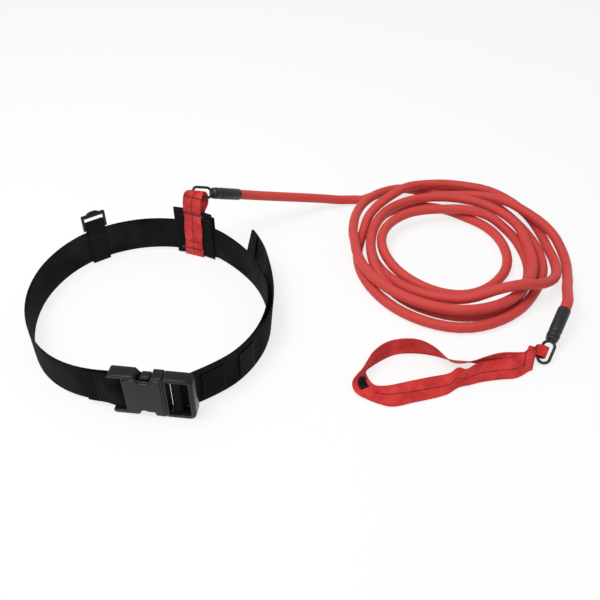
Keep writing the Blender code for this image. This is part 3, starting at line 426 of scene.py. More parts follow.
fitting_pieces = []
for side, flange, axis, rise in (("near", NEAR_FLANGE, NEAR_AXIS, NEAR_RISE),
                                 ("far", FAR_FLANGE, FAR_AXIS, FAR_RISE)):
    middle, across = ring_frame(flange, axis, rise)
    loop = [site(*(middle + axis * end * (RING_HALF_LENGTH + RING_ROUND * math.cos(angle))
                   + across * end * RING_ROUND * math.sin(angle)))
            for end in (1, -1) for angle in (math.pi * (k / 16 - 0.5) for k in range(17))]
    bar = swept(side + "_bar", loop, RING_BAR / 1000, 14)
    plug = turned(side + "_plug", [(-3.2, 0), (-3.1, 2.6), (-2.3, 4.6), (-1.2, 6.3), (-0.3, 7.4),
                                   (0.2, 7.7), (2.6, 7.7), (3, 7.4), (3, 6.7), (14.6, 6.7),
                                   (15, 6.3), (15, 0)], flange, axis)
    ring = joined(side + "_ring_moulded", [bar, plug])
    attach(ring, "tether")
    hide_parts(side + "_ring")
    sleeve = turned(side + "_sleeve_crimped", [
        (48.3, 7.25), (48.35, 7.6), (48.1, 7.9), (47.3, 8.2), (22, 8.2), (13.2, 8.2),
        (12.6, 8.1), (12, 7.7), (11.2, 7.45), (10.2, 7.45), (9.4, 7.7), (8.8, 8.1), (8.2, 8.2),
        (4.6, 8.2), (3.8, 8.05), (3.35, 7.7), (3.3, 7.35), (25, 7.2), (48.3, 7.25)], flange, axis)
    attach(sleeve, "tether")
    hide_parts(side + "_sleeve")
    fitting_pieces += [ring, sleeve]


# ---- Webbing of the waist belt ---------------------------
# Black polypropylene webbing, 50 x 1.8 mm, woven with a fine lengthwise rib and firm edges. It is
# sewn back on itself round the buckle's fixed bar and runs once round the waist.
def webbing(name, low, high, thick, finish, slot, lanes=4, closed=False, start=0.0):
    """A strap between two edge lines, with rounded edges; gives the object and its lie."""
    low, high = np.array(low, float), np.array(high, float)
    count = len(low)
    middle = (low + high) / 2
    if closed:
        ahead = np.roll(middle, -1, axis=0) - np.roll(middle, 1, axis=0)
    else:
        ahead = np.gradient(middle, axis=0)
    across = high - low
    width = np.linalg.norm(across, axis=1)
    across = across / width[:, None]
    face = np.cross(ahead, across)
    face /= np.linalg.norm(face, axis=1)[:, None]
    sheet = [(d * thick, h) for d, h in ((0, 0), (0.10, 0.30), (0.32, 0.46), (0.8, 0.5))]
    gone = start + run_along(middle)
    rings, maps = [], []
    for i in range(count):
        w = width[i]
        spots = sheet + [(w * k / lanes, 0.5) for k in range(1, lanes)]
        spots += [(w - d, h) for d, h in reversed(sheet)]
        spots += [(s, -h) for s, h in reversed(spots[1:-1])]
        rings.append([low[i] + across[i] * s + face[i] * h * thick for s, h in spots])
        maps.append([(gone[i], s) for s, _ in spots + spots[:1]])
    if closed:
        total = gone[-1] + np.linalg.norm(middle[0] - middle[-1])
        maps.append([(total, s) for _, s in maps[0]])
    made = faced_out(lofted(name, rings, finish, maps, closed))
    lie = {"low": low, "across": across, "width": width, "face": face, "run": gone - start,
           "half": thick / 2}
    return made, lie


def lie_at(lie, run, key):
    return np.array([np.interp(run, lie["run"], lie[key][:, k]) for k in range(3)])


def on_strap(lie, run, share, side, lift=0.0):
    """A point on a strap's face: metres along it, share of its width, side 1 or -1."""
    low, across, face = (lie_at(lie, run, key) for key in ("low", "across", "face"))
    width = np.interp(run, lie["run"], lie["width"])
    face *= side * (lie["half"] + lift) / np.linalg.norm(face)
    return Vector(low + across * width * share + face)


COARSE_WEAVE, FINE_WEAVE = (0.0030, 0.0013, 0.00028), (0.0026, 0.0011, 0.0003)


def web_finish(name, dark, light, weave, sheen, width, specular, creases=0.0, pressed=(),
               sewn=None):
    """Woven strap: chevrons of warp yarns, firm edges, soft creases, and lines pressed by seams
    at `pressed` metres along it. A weave is its yarns' pitch, its ribs' width and its depth."""
    pitch, rib, depth = weave
    made, shader = new_finish(name, light, 0.8, specular, sheen)
    u, v = weave_map(shader)
    row = sums("DIVIDE", v, rib)
    zig = sums("PINGPONG", sums("FLOOR", row), 4.0)
    warp = plus(sums("DIVIDE", u, pitch), times(zig, 0.25))
    yarns = times(sums("POWER", humps(warp), 0.6), sums("POWER", humps(row), 0.5))
    fuzz = mottle(shader, 1400.0, 2.0)
    patches = sums("MULTIPLY_ADD", mottle(shader, 15.0 if creases < 4 else 60.0), 2.6, -0.8)
    rim = sums("LESS_THAN", sums("MINIMUM", v, less(width, v)), 0.0016)
    share = plus(times(yarns, 0.35), sums("MULTIPLY_ADD", patches, 0.85, -0.12))
    colour = blended(less(share, times(rim, 0.18)), dark, light)
    height = plus(yarns, times(fuzz, 0.35))
    if pressed:
        dash = sums("SINE", times(u, math.pi / 0.0019))
        line = times(sums("LESS_THAN", sums("ABSOLUTE", less(v, width / 2)), 0.0008),
                     sums("GREATER_THAN", dash, -0.5))
        if sewn:
            line = times(line, times(sums("GREATER_THAN", u, sewn[0]),
                                     sums("LESS_THAN", u, sewn[1])))
        for place in pressed:
            off = sums("ABSOLUTE", less(u, place))
            line = sums("MAXIMUM", line, sums("LESS_THAN", off, 0.0008))
        colour = blended(times(line, 0.75), colour, tuple(0.2 * c for c in dark))
        height = less(height, times(line, 1.5))
    if creases:
        height = plus(height, times(mottle(shader, 85.0, 2.0), creases))
    coat(shader, colour, height, depth, plus(0.66, times(fuzz, 0.26)))
    return made


BUCKLE_TURN = math.radians(-7)
BUCKLE_FRAME = Matrix.Translation(site(-140, -155, 31)) @ Matrix.Rotation(BUCKLE_TURN, 4, "Z")


def at_buckle(x, y, z=0.0):
    return BUCKLE_FRAME @ Vector((x * 0.001, y * 0.001, z * 0.001))


BELT_WIDTH, BELT_THICK = 50, 0.0018
BELT_RUNS = [(14, 0), (119, 134), (135, 181), (183, 135), (275, 168), (98, 150)]
BELT_LIFT = [(0.0, 6), (0.15, 0.4), (0.32, 0.4), (0.42, 3), (0.59, 6.5), (0.70, 0.4),
             (0.88, 0.4), (0.965, 1.0), (1.0, 1.3)]
FOLD_RADIUS = 3.6
FOLD_REACH = 8.9
EXIT_TURN = math.radians(40)
EXIT = (41.0, 3.5 + (41.0 - 27.7 + 2.8) * math.tan(EXIT_TURN))
LAYER = 2.2


def headed(angle):
    """The way along the floor at an angle."""
    return Vector((math.cos(angle), math.sin(angle), 0))


def belt_plan():
    """The belt's centre line from the fixed bar to the ladder: (distance, x, y, heading)."""
    start = at_buckle(-43.5, FOLD_RADIUS) * 1000
    x, y, heading, gone = start.x, start.y, math.pi + BUCKLE_TURN, 0.0
    rows = [(gone, x, y, heading)]
    for length, radius in BELT_RUNS:
        count = max(2, math.ceil(length / 8))
        bend = -length / count / radius if radius else 0.0
        step = length / count
        for _ in range(2 * count):
            x += math.cos(heading + bend / 4) * step / 2
            y += math.sin(heading + bend / 4) * step / 2
            heading += bend / 2
            gone += step / 2
            rows.append((gone, x, y, heading))
    begin = Vector((x, y, 0))
    end = at_buckle(*EXIT) * 1000
    end.z = 0
    span = (end - begin).length * 0.9
    out, into = headed(heading), -headed(BUCKLE_TURN + EXIT_TURN)
    count = 2 * math.ceil(span / 8)
    last = begin
    for k in range(1, count + 1):
        here = curved(k / count, span, begin, end, out, into)
        step = here - last
        gone += step.length
        rows.append((gone, here.x, here.y, math.atan2(step.y, step.x)))
        last = here
    rows = np.array(rows)
    rows[:, 3] = np.unwrap(rows[:, 3])
    return rows


PLAN = belt_plan()
BELT_LENGTH = PLAN[-1, 0]
SPLIT = BELT_LENGTH - 105


def belt_place(distance):
    return [np.interp(distance, PLAN[:, 0], PLAN[:, k]) for k in (1, 2, 3)]


def belt_frame(distance):
    """A place on the belt's centre line in millimetres, the way on, and the way outwards."""
    x, y, heading = belt_place(distance)
    return Vector((x, y, 0)), headed(heading), headed(heading + math.pi / 2)


def belt_spot(distance, outward=0.0, height=0.0):
    """A point beside the belt's centre line, over its lower edge, in metres."""
    x, y, heading = belt_place(distance)
    share = min(max(distance / BELT_LENGTH, 0), 1)
    for (a, foot), (b, top) in zip(BELT_LIFT, BELT_LIFT[1:]):
        if share <= b:
            break
    lift = foot + (top - foot) * (0.5 - 0.5 * math.cos(math.pi * (share - a) / (b - a)))
    return Vector(((x - math.sin(heading) * outward) / 1000,
                   (y + math.cos(heading) * outward) / 1000, (lift + height) / 1000))


def spread(start, end, step):
    return np.linspace(start, end, max(2, math.ceil(abs(end - start) / step) + 1))


def belt_edges(stations, width=BELT_WIDTH, rise=0.0):
    return ([belt_spot(d, o, rise) for d, o in stations],
            [belt_spot(d, o, rise + width) for d, o in stations])


black_web = web_finish("black webbing", (0.0008, 0.0008, 0.0007), (0.0250, 0.0242, 0.0208),
                       COARSE_WEAVE, 0.005, 0.050, 0.045, creases=2.5)
low, high = belt_edges([(d, LAYER + (2 * FOLD_RADIUS - LAYER) * max(0, 1 - d / 22) ** 1.5)
                        for d in spread(38, 6, 3)])
foot = belt_spot(0).z
for k in range(13):
    angle = math.pi * (0.5 + k / 12)
    p = at_buckle(-43.5 - math.cos(angle) * FOLD_REACH, -math.sin(angle) * FOLD_RADIUS)
    low.append(Vector((p.x, p.y, foot)))
    high.append(Vector((p.x, p.y, foot + BELT_WIDTH / 1000)))
more_low, more_high = belt_edges([(d, 0.0) for d in spread(4, SPLIT, 4)])
main_web, main_lie = webbing("waist_webbing", low + more_low, high + more_high,
                             BELT_THICK, black_web, "black_webbing")
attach(main_web, "belt")
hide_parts("belt_webbing")


# ---- Belt's adjustable end -------------------------------
# The same webbing goes on through the ladder of the buckle and back over its own outer face. It
# ends in a folded and sewn hem that stands off the belt, cut at a slant, and its lower edge leans
# on the belt before that.
TAIL_LENGTH, TAIL_EXTRA = 184, 6
TIP_SLANT, TIP_FLARE = 15, 0.34
TAIL_STAND = [(0, 31), (12, 27), (24, 23), (40, 17.5), (56, 13), (73, 9.5), (91, 7), (110, 5.5),
              (135, 4.5), (158, 3), (175, 1.2), (184, 0)]


def tail_offset(distance):
    from_tip = distance - (SPLIT - TAIL_LENGTH)
    beyond = TIP_FLARE * max(-from_tip, 0)
    return LAYER + beyond + float(smooth(TAIL_STAND, min(max(from_tip, 0), TAIL_LENGTH))[0])


def ladder_route():
    """Round the ladder's bar, in the buckle's own plan."""
    along = np.array((math.cos(EXIT_TURN), math.sin(EXIT_TURN)))
    beside = np.array((along[1], -along[0])) * LAYER
    leave = np.array(EXIT) - along * 0.3
    points = [leave - along * d for d in (0, 5, 10, 14)] + [(23.9, 5.3), (22.2, 3.5), (21.9, 1)]
    for middle, start in ((24.1, 180), (29.5, 270)):
        for k in range(5):
            a = math.radians(start + 90 * k / 4)
            points.append((middle + 2.2 * math.cos(a), -1.2 + 2.2 * math.sin(a)))
    points += [(31.7, 0.6), (31.75, 2.5), (32.3, 5.5), (33.6, 8)]
    points += [leave + beside - along * d for d in (6, 3, 0)]
    return through(points, 2)


low, high = belt_edges([(d, 0.0) for d in spread(SPLIT, BELT_LENGTH - 0.15, 4)])
for x, y in ladder_route():
    p = at_buckle(x, y)
    rest = 0.0013 + 0.0047 * min(max((10 - y) / 2.5, 0), 1)
    low.append(Vector((p.x, p.y, rest)))
    high.append(Vector((p.x, p.y, rest + BELT_WIDTH / 1000)))
tip = SPLIT - TAIL_LENGTH - TAIL_EXTRA
loose = [(d, LAYER) for d in spread(BELT_LENGTH - 0.15, SPLIT, 4)]
turn_from = len(loose)
loose += [(d, tail_offset(d)) for d in spread(SPLIT - 4, tip, 4)]
loose += [(tip - 1.0 * math.sin(a), loose[-1][1] - LAYER * (0.5 - 0.5 * math.cos(a)))
          for a in (math.pi * k / 6 for k in range(1, 7))]
loose += [(d, tail_offset(d) - LAYER) for d in spread(tip + 2, tip + 13, 3)]
more_low, more_high = belt_edges(loose)
for k in range(turn_from, len(loose)):
    d, o = loose[k]
    slant = TIP_SLANT * max(0.0, 1 - max(d - tip, 0) / 60) ** 1.5
    lean = min(max((d - tip - 34) / 32, 0), 1)
    lean = (3 - 2 * lean) * lean**2 * max(0.0, o - LAYER - 0.2)
    more_low[k] = belt_spot(d - slant, o + TIP_FLARE * slant - lean)
tail_web, tail_lie = webbing("adjusting_webbing", low + more_low, high + more_high,
                             BELT_THICK, black_web, "black_webbing", start=SPLIT / 1000)
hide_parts("belt_front_layer", "tail_front_layer", "ladder_loop", "belt_tail")


# ---- Hook patches ----------------------------------------
# Two strips of moulded hook tape on the outer face beside the buckle, sewn round their edges.
# They are a dense field of small plastic hooks on a matte ground.
PATCH_HEIGHT, PATCH_RISE, PATCH_OUT = 38, 6, 3.95
hook_tape, shader = new_finish("hook tape", (0.008, 0.008, 0.008), 0.5, 0.04)
u, v = weave_map(shader)
tufts = times(humps(sums("DIVIDE", u, 0.0014)), humps(sums("DIVIDE", v, 0.0010)))
share = times(plus(tufts, mottle(shader, 1600.0)), 0.5)
coat(shader, blended(share, (0.0005, 0.0005, 0.0005), (0.0055, 0.0055, 0.0050)), share, 0.0005)
patches = []
for name, start, end in (("front", 8, 40), ("rear", 60, 88)):
    low, high = belt_edges([(BELT_LENGTH - d, PATCH_OUT) for d in spread(start, end, 4)],
                           PATCH_HEIGHT, PATCH_RISE)
    patch, lie = webbing("hook_tape_" + name, low, high, 0.0011, hook_tape, "hook_tape")
    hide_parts("hook_patch_" + name)
    patches.append((patch, lie))


# ---- Buckle ----------------------------------------------
# Side-release buckle for 50 mm webbing, injection moulded in black acetal: rails with a soft
# gloss round a finely grained face, and two latch arms that spring out into the side windows.
def plastic_finish(name, dark, light, rough, grain_depth, specular):
    made, shader = new_finish(name, light, rough, specular)
    flow = mottle(shader, 45.0, 4.0)
    coat(shader, blended(flow, dark, light), mottle(shader, 1500.0, 2.0), grain_depth,
         plus(rough - 0.07, times(flow, 0.16)))
    return made


def dressed(name, source, finish, width, other=None, picks=None):
    """A merged copy of a solid, its edges rounded by `width`. Faces that `picks` chooses, by
    their middle and outward way in the buckle's frame, get the other finish."""
    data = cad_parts[source].data.copy()
    data.materials.clear()
    for paint in (finish, other) if other else (finish,):
        data.materials.append(paint)
    work = bmesh.new()
    work.from_mesh(data)
    bmesh.ops.remove_doubles(work, verts=work.verts, dist=0.000008)
    bmesh.ops.dissolve_limit(work, angle_limit=math.radians(0.8), verts=work.verts,
                             edges=work.edges)
    inward = BUCKLE_FRAME.inverted()
    for face in work.faces:
        face.smooth = True
        face.material_index = int(bool(other) and picks(inward @ face.calc_center_median(),
                                                        inward.to_3x3() @ face.normal))
    work.to_mesh(data)
    work.free()
    made = placed(name, data)
    round_off = made.modifiers.new("rounded edges", "BEVEL")
    round_off.width = width
    round_off.segments = 2
    round_off.limit_method = "ANGLE"
    round_off.angle_limit = math.radians(35)
    round_off.harden_normals = True
    settled(made)
    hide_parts(source)
    return made


def settled(made):
    """Turns an object's modifiers into its plain mesh."""
    graph = bpy.context.evaluated_depsgraph_get()
    data = bpy.data.meshes.new_from_object(made.evaluated_get(graph))
    made.modifiers.clear()
    made.data = data


acetal = plastic_finish("black acetal", (0.0035, 0.0035, 0.0042), (0.0075, 0.0075, 0.0085), 0.27,
                        0.00002, 0.34)
acetal_face = plastic_finish("grained acetal", (0.026, 0.0245, 0.021), (0.034, 0.032, 0.0275), 0.6,
                             0.00006, 0.3)
# A darker, duller copy of the black acetal: painted shade on the inner wall of the ladder's slot,
# which hides the reflection the wall would show there.
acetal_painted_shade = plastic_finish("shade_painted acetal", (0.003, 0.003, 0.003), (0.006, 0.006, 0.006),
                               0.85, 0.00006, 0.05)
shell = dressed("buckle_shell", "buckle_female", acetal, 0.0005, acetal_face,
                lambda middle, way: way.y < -0.8 and middle.y < -0.009)
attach(shell, "belt")
# The inner wall of the ladder's slot gets the acetal copy with painted shade.
ladder = dressed("buckle_ladder_half", "buckle_male", acetal, 0.0005, acetal_painted_shade,
                 lambda middle, way: way.x > 0.7 and middle.x < 0.02)
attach(ladder, "buckle_male_half")
for arm in ("upper", "lower"):
    latch = dressed("latch_button_" + arm, "latch_arm_" + arm, acetal, 0.0003)
    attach(latch, "latch_" + arm)


# ---- Slider ----------------------------------------------
# Two stiff panels of doubled black webbing, hemmed at the top, with the belt free to run between
# them. The red strap holds them together.
SLIDER_AT, SLIDER_HALF = 518, 30
INNER_HEIGHT, OUTER_HEIGHT, PANEL_FOOT = 0.077, 0.069, 0.0018


def slider_panel(name, node, offset, height):
    low = [belt_spot(d, offset) for d in
           spread(SLIDER_AT - SLIDER_HALF, SLIDER_AT + SLIDER_HALF, 3)]
    for p in low:
        p.z = PANEL_FOOT
    high = [p + Vector((0, 0, height)) for p in low]
    made, lie = webbing(name, low, high, 0.0022, panel_web, "black_webbing", lanes=12)
    for loop in made.data.uv_layers["weave"].data:
        loop.uv = (loop.uv[1], loop.uv[0])
    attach(made, "slider")
    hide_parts(node)
    return lie


panel_web = web_finish("slider webbing", (0.0012, 0.0012, 0.0012), (0.0065, 0.0065, 0.0060),
                       COARSE_WEAVE, 0.02, 0.060, 0.12, creases=2.0)
inner_lie = slider_panel("slider_panel_inside", "slider_inner_panel", -2.7, INNER_HEIGHT)
outer_lie = slider_panel("slider_panel_outside", "slider_outer_panel", 2.7, OUTER_HEIGHT)


# ---- Red tether strap ------------------------------------
# Red polyester webbing, 27 x 1.3 mm: down the inside of the slider, under its foot, up the
# outside and round the lower bar of the near ring. It is sewn across below the ring.
tether_web = web_finish("red tether webbing", (0.58, 0.025, 0.024), (0.92, 0.080, 0.074),
                        FINE_WEAVE, 0.05, 0.027, 0.2, creases=8.0,
                        pressed=(0.0218, 0.0343, 0.0808, 0.0838, 0.1105))
# Along the belt, outwards, up, the width, and the strap's turn and tilt in degrees
TETHER_TOP = [(0, -5.292, 70, 27, 0, 0), (0, -5.292, 76, 27, 0, 0), (0, -5.3, 85.4, 27, 1, -1),
              (1.4, -5.9, 94.9, 26.5, 6, -4), (3.8, -5.4, 103.3, 25.5, 12, -11),
              (6.1, -1.8, 108.4, 22.5, 31, -19), (10.2, 5.8, 105.9, 15, 54, -24),
              (11.8, 11.4, 100.8, 11.5, 64, -25), (10.2, 15.8, 94.4, 12, 60, -23),
              (6.2, 15.5, 87.8, 18, 45, -18), (2.8, 10.5, 82, 25, 23, -10),
              (0.8, 6.4, 75.8, 27, 6, -2), (0, 4.75, 69, 27, 0, 0), (0, 4.75, 62, 27, 0, 0)]
ends = np.array(TETHER_TOP)
chord = run_along(ends[:, :3])
table = np.column_stack([chord, ends])
top = [smooth(table, a + (b - a) * k / 4) for a, b in zip(chord[1:-2], chord[2:-1])
       for k in range(4)] + [ends[-2]]
bottom = 0.8
rows = [(0, n, bottom, 27, 0, 0) for n in np.linspace(4.05, -4.592, 5)]
rows += [(0, -4.592 - 0.7 * math.sin(a), bottom + 0.7 - 0.7 * math.cos(a), 27, 0, 0)
         for a in (math.pi / 6, math.pi / 3, math.pi / 2)]
rows += [(0, -5.292 - 0.12 * (1 - math.cos(z / 4.4)), z, 27, 0, 0) for z in np.arange(4, 74, 3)]
rows += top
rows += [(0, 4.75 + 0.1 * (1 - math.cos(z / 5)), z, 27, 0, 0) for z in np.arange(64, 3, -4)]
rows += [(0, 4.05 + 0.7 * math.cos(a), bottom + 0.7 - 0.7 * math.sin(a), 27, 0, 0)
         for a in (0, math.pi / 6, math.pi / 3)]
here, belt_way, outward = belt_frame(SLIDER_AT)
low, high = [], []
for t, n, z, width, turn, tilt in rows:
    droop = max(0.0, 1 - z / 72)
    width += 1.5 * droop
    middle = here + belt_way * (t - 3.6 * droop) + outward * n + Vector((0, 0, z))
    turn, tilt = math.radians(turn), math.radians(tilt)
    across = (belt_way * math.cos(turn) + outward * math.sin(turn)) * math.cos(tilt)
    across += Vector((0, 0, math.sin(tilt)))
    low.append((middle - across * (width / 2 + 0.4 * math.sin(z / 5.5))) / 1000)
    high.append((middle + across * (width / 2 + 0.4 * math.sin(z / 6.5 + 1))) / 1000)
tether, tether_lie = webbing("tether_strap_webbing", low, high, 0.0013, tether_web, "red_webbing",
                             lanes=6, closed=True)
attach(tether, "slider")
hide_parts("tether_strap")


# ---- Keeper ----------------------------------------------
# A narrow black strap round the belt, and a small moulded ladder lock that holds its two ends
# over the belt's upper edge.
KEEPER_AT = 373
here, belt_way, outward = belt_frame(KEEPER_AT)
stand = here - outward * 0.313
near, wide, bottom = 2.363, 4.1, 0.75
shape = [(0, bottom), (-0.8, bottom), (-near + 0.7, bottom)]
shape += [(-near + 0.7 - 0.7 * math.sin(a), bottom + 0.7 - 0.7 * math.cos(a))
          for a in (math.pi / 6, math.pi / 3, math.pi / 2)]
shape += [(-near, z) for z in (6, 12, 18, 24, 30, 34)]
shape += through([(-near, 38), (-near - 0.6, 51), (-wide, 56), (-wide, 61)], 4)
over = [(-3.3125 * math.cos(a), 65 + 2.65 * math.sin(a)) for a in
        (math.pi * k / 14 for k in range(1, 14))]
shape = shape + over + [(-n, z) for n, z in reversed(shape[1:])]
low, high = ([(stand + outward * n + Vector((0, 0, z)) + belt_way * across) / 1000
              for n, z in shape] for across in (-13, 13))
keeper_web = web_finish("keeper webbing", (0.0015, 0.0015, 0.0015), (0.007, 0.007, 0.0065),
                        (0.0026, 0.0011, 0.00025), 0.02, 0.026, 0.15, pressed=(0.05, 0.054))
keeper, keeper_lie = webbing("keeper_webbing", low, high, 0.0013, keeper_web, "black_webbing",
                             closed=True)
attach(keeper, "keeper")
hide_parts("keeper_strap")
lock = dressed("keeper_ladder_lock", "keeper_lock", acetal, 0.0005)
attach(lock, "keeper")


# ---- Hand strap ------------------------------------------
# Red webbing like the tether's, laid on edge on the floor: along the far side, rolled over at the
# left end and back along the near side, its doubled end sewn through the far ring.
# The strap's two edges, as x, y, z of the one on the floor and of the one above it
HAND_EDGES = [
    (306, -92, 2, 311, -77, 21), (290, -98, 1.2, 292, -81, 22), (268, -97, 1.2, 268, -84, 24.5),
    (250, -84, 1.2, 248, -92, 26), (232, -77, 1.2, 229, -95, 20), (212, -74, 1.2, 207, -94, 18),
    (192, -67, 1.2, 188, -77, 25.5), (174, -63, 1.2, 171, -66, 28),
    (154, -62.5, 1.2, 151, -63.5, 28), (139, -66, 1.2, 130, -67.5, 26),
    (125, -74.5, 1.2, 113, -82, 24.5), (112, -84.5, 1.2, 104, -98, 23.5),
    (104, -93, 1.2, 97.5, -109, 21.5), (105, -102, 1.4, 90.5, -115.5, 18.5),
    (108, -111, 3, 85.5, -121, 13), (110.5, -119.5, 7, 86, -128, 8.5),
    (114, -127, 12.5, 91, -133.5, 4.5), (121, -131, 16.5, 100.5, -138, 1.8),
    (130, -131.5, 18.5, 114, -145, 1.2), (142, -129.5, 20, 132, -150, 1.2),
    (160, -125, 20.5, 158, -143, 1.2), (177, -120, 20, 177, -138, 1.2),
    (198, -114, 19, 197, -131, 1.2), (212, -110, 24, 212, -120, 1.2),
    (228, -106, 24, 226, -116, 1.2), (242, -96, 21, 242, -111, 1.2),
    (266, -91, 20, 265, -107, 1.2), (284, -88, 20, 283, -105, 1.2),
    (299.5, -75.5, 19.5, 299, -95.5, 1.2), (311, -68, 17, 308.5, -84.5, 2),
]
HAND_LOOP = [(4.5, -12, -12.5, 3.6), (6, -10, -6.5, 3.6), (6.5, -9.5, -1.5, 2.8),
             (7, -9.5, 1.2, 0), (6.5, -9.5, -1.5, -2.8), (5.5, -10, -6, -3.2),
             (4, -11, -10.5, -2.8), (2.5, -12, -16, -1.6), (1, -13, -22, -0.8)]
ring_middle, across = ring_frame(FAR_FLANGE, FAR_AXIS, FAR_RISE)
up = across.cross(FAR_AXIS)
hand_rows = [(k, *row) for k, row in enumerate(HAND_EDGES)]
loop_rows = HAND_EDGES[-2:]
for upper, lower, beside, height in HAND_LOOP:
    middle = ring_middle + across * beside + up * height
    loop_rows.append((*(middle + FAR_AXIS * upper), *(middle + FAR_AXIS * lower)))
loop_rows = [(k, *row) for k, row in enumerate(loop_rows)]
dense = [smooth(hand_rows, k / 4) for k in range(4 * 29 + 1)]
dense += [smooth(loop_rows, 1 + k / 4) for k in range(1, 4 * 9 + 1)]
# Rows of the strap, four to each pair of edge points: its seams, and the pucker's rise in mm
SEAM_START, BACK_START, SEAM_END = 3, 68, (112, 116)
PUCKER = {90: 1.4, 91: 2.6, 92: 1.6, 93: -1.4, 94: -3.6, 95: -2.6, 96: 0.2, 97: 0.8}
for k, lift in PUCKER.items():
    dense[k][2] += lift
gone = run_along([(row[:3] + row[3:]) / 2000 for row in dense])
hand_web = web_finish("red hand webbing", (0.50, 0.020, 0.020), (0.84, 0.064, 0.060), FINE_WEAVE,
                      0.05, 0.027, 0.2, creases=8.0,
                      pressed=tuple(gone[k] for k in (SEAM_START, *SEAM_END)),
                      sewn=(gone[BACK_START], gone[SEAM_END[0]]))
hand, hand_lie = webbing("hand_strap_webbing", [site(*row[:3]) for row in dense],
                         [site(*row[3:]) for row in dense], 0.0013, hand_web, "red_webbing",
                         lanes=8)
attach(hand, "hand_strap_loop")
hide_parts("hand_strap")

edges = ([], [])
for k in range(13):
    at = 13.2 + (15.6 - 13.2) * k / 12
    before, here, after = (smooth(hand_rows, at + d) for d in (-0.1, 0, 0.1))
    for edge, share in zip(edges, (0.27, 0.72)):
        start, spot, end = (Vector(row[:3]).lerp(Vector(row[3:]), share)
                            for row in (before, here, after))
        normal = (Vector(here[3:]) - Vector(here[:3])).cross(end - start).normalized()
        if normal.z < 0:
            normal.negate()
        edge.append(site(*(spot + normal * 1.55)))
hand_patch, hand_patch_lie = webbing("hand_strap_turn_patch", *edges, 0.0009, keeper_web,
                                     "black_webbing", lanes=3)
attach(hand_patch, "hand_strap_loop")
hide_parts("hand_strap_patch")


# ---- Stitching -------------------------------------------
# Bonded thread in a plain lock stitch: black on the black webbing, duller on the hook tape, red
# on the red. Each stitch lies half sunk in the face of the strap it holds.
def stitch_tree():
    """Lines of edges become rows of thread-shaped stitches."""
    tree = bpy.data.node_groups.new("lock stitch", "GeometryNodeTree")
    for name, way, kind in (("Seam", "INPUT", "Geometry"), ("Pitch", "INPUT", "Float"),
                            ("Length", "INPUT", "Float"), ("Thread", "INPUT", "Float"),
                            ("Finish", "INPUT", "Material"), ("Stitches", "OUTPUT", "Geometry")):
        tree.interface.new_socket(name=name, in_out=way, socket_type="NodeSocket" + kind)
    step = {name: tree.nodes.new(kind) for name, kind in (
        ("given", "NodeGroupInput"), ("line", "GeometryNodeMeshToCurve"),
        ("split", "GeometryNodeResampleCurve"), ("bead", "GeometryNodeMeshUVSphere"),
        ("size", "ShaderNodeCombineXYZ"), ("half", "ShaderNodeMath"),
        ("stretch", "GeometryNodeTransform"), ("way", "GeometryNodeInputTangent"),
        ("turn", "FunctionNodeAlignRotationToVector"), ("lay", "GeometryNodeInstanceOnPoints"),
        ("real", "GeometryNodeRealizeInstances"), ("soft", "GeometryNodeSetShadeSmooth"),
        ("paint", "GeometryNodeSetMaterial"), ("result", "NodeGroupOutput"))}
    step["split"].mode = "LENGTH"
    step["half"].operation = "MULTIPLY"
    step["turn"].axis = "X"
    for name, socket, value in (("half", 1, 0.5), ("bead", "Segments", 6), ("bead", "Rings", 4),
                                ("bead", "Radius", 1)):
        step[name].inputs[socket].default_value = value
    for source, out, target, into in (
            ("given", "Seam", "line", 0), ("line", 0, "split", "Curve"),
            ("given", "Pitch", "split", "Length"), ("split", 0, "lay", "Points"),
            ("given", "Length", "half", 0), ("half", 0, "size", 0), ("given", "Thread", "size", 1),
            ("given", "Thread", "size", 2), ("bead", 0, "stretch", 0),
            ("size", 0, "stretch", "Scale"), ("stretch", 0, "lay", "Instance"),
            ("way", 0, "turn", "Vector"), ("turn", 0, "lay", "Rotation"), ("lay", 0, "real", 0),
            ("real", 0, "soft", 0), ("soft", 0, "paint", 0),
            ("given", "Finish", "paint", "Material"), ("paint", 0, "result", 0)):
        wire(step[source].outputs[out], step[target].inputs[into])
    return tree


def thread_finish(name, colour):
    """Twisted bonded thread, slightly glossy."""
    made, shader = new_finish(name, colour, 0.5)
    shade = mottle(shader, 700.0)
    coat(shader, blended(shade, tuple(c * 0.6 for c in colour), colour), shade, 0.0001)
    return made


lock_stitch = stitch_tree()
STITCH_PITCH, STITCH_LENGTH = 0.0030, 0.0024


def seams(name, lines, finish, thread=0.0004):
    """Rows of stitches along lists of points, as one plain mesh."""
    data = bpy.data.meshes.new(name)
    points, edges = [], []
    for line in lines:
        first = len(points)
        points += [tuple(p) for p in line]
        edges += [(first + k, first + k + 1) for k in range(len(line) - 1)]
    data.from_pydata(points, edges, [])
    made = placed(name, data)
    sewn = made.modifiers.new("lock stitch", "NODES")
    sewn.node_group = lock_stitch
    chosen = {"Pitch": STITCH_PITCH, "Length": STITCH_LENGTH, "Thread": thread,
              "Finish": finish}
    for item in lock_stitch.interface.items_tree:
        if item.in_out == "INPUT" and item.name in chosen:
            sewn[item.identifier] = chosen[item.name]
    settled(made)
    return made


def seam_line(lie, start, end, toward, count=24):
    """A line on a strap's face from (run, share) to (run, share), on the side towards a point."""
    side = 1 if np.dot(lie_at(lie, start[0], "face"), toward) > 0 else -1
    return [on_strap(lie, start[0] + (end[0] - start[0]) * t, start[1] + (end[1] - start[1]) * t,
                     side) for t in np.linspace(0, 1, count)]


def boxed(lie, inset, edge, toward):
    """A sewn box on a strap, `inset` metres from its ends and a share from its edges."""
    end = lie["run"][-1] - inset
    corners = [(inset, edge), (end, edge), (end, 1 - edge), (inset, 1 - edge), (inset, edge)]
    return [seam_line(lie, a, b, toward, 12) for a, b in zip(corners, corners[1:])]


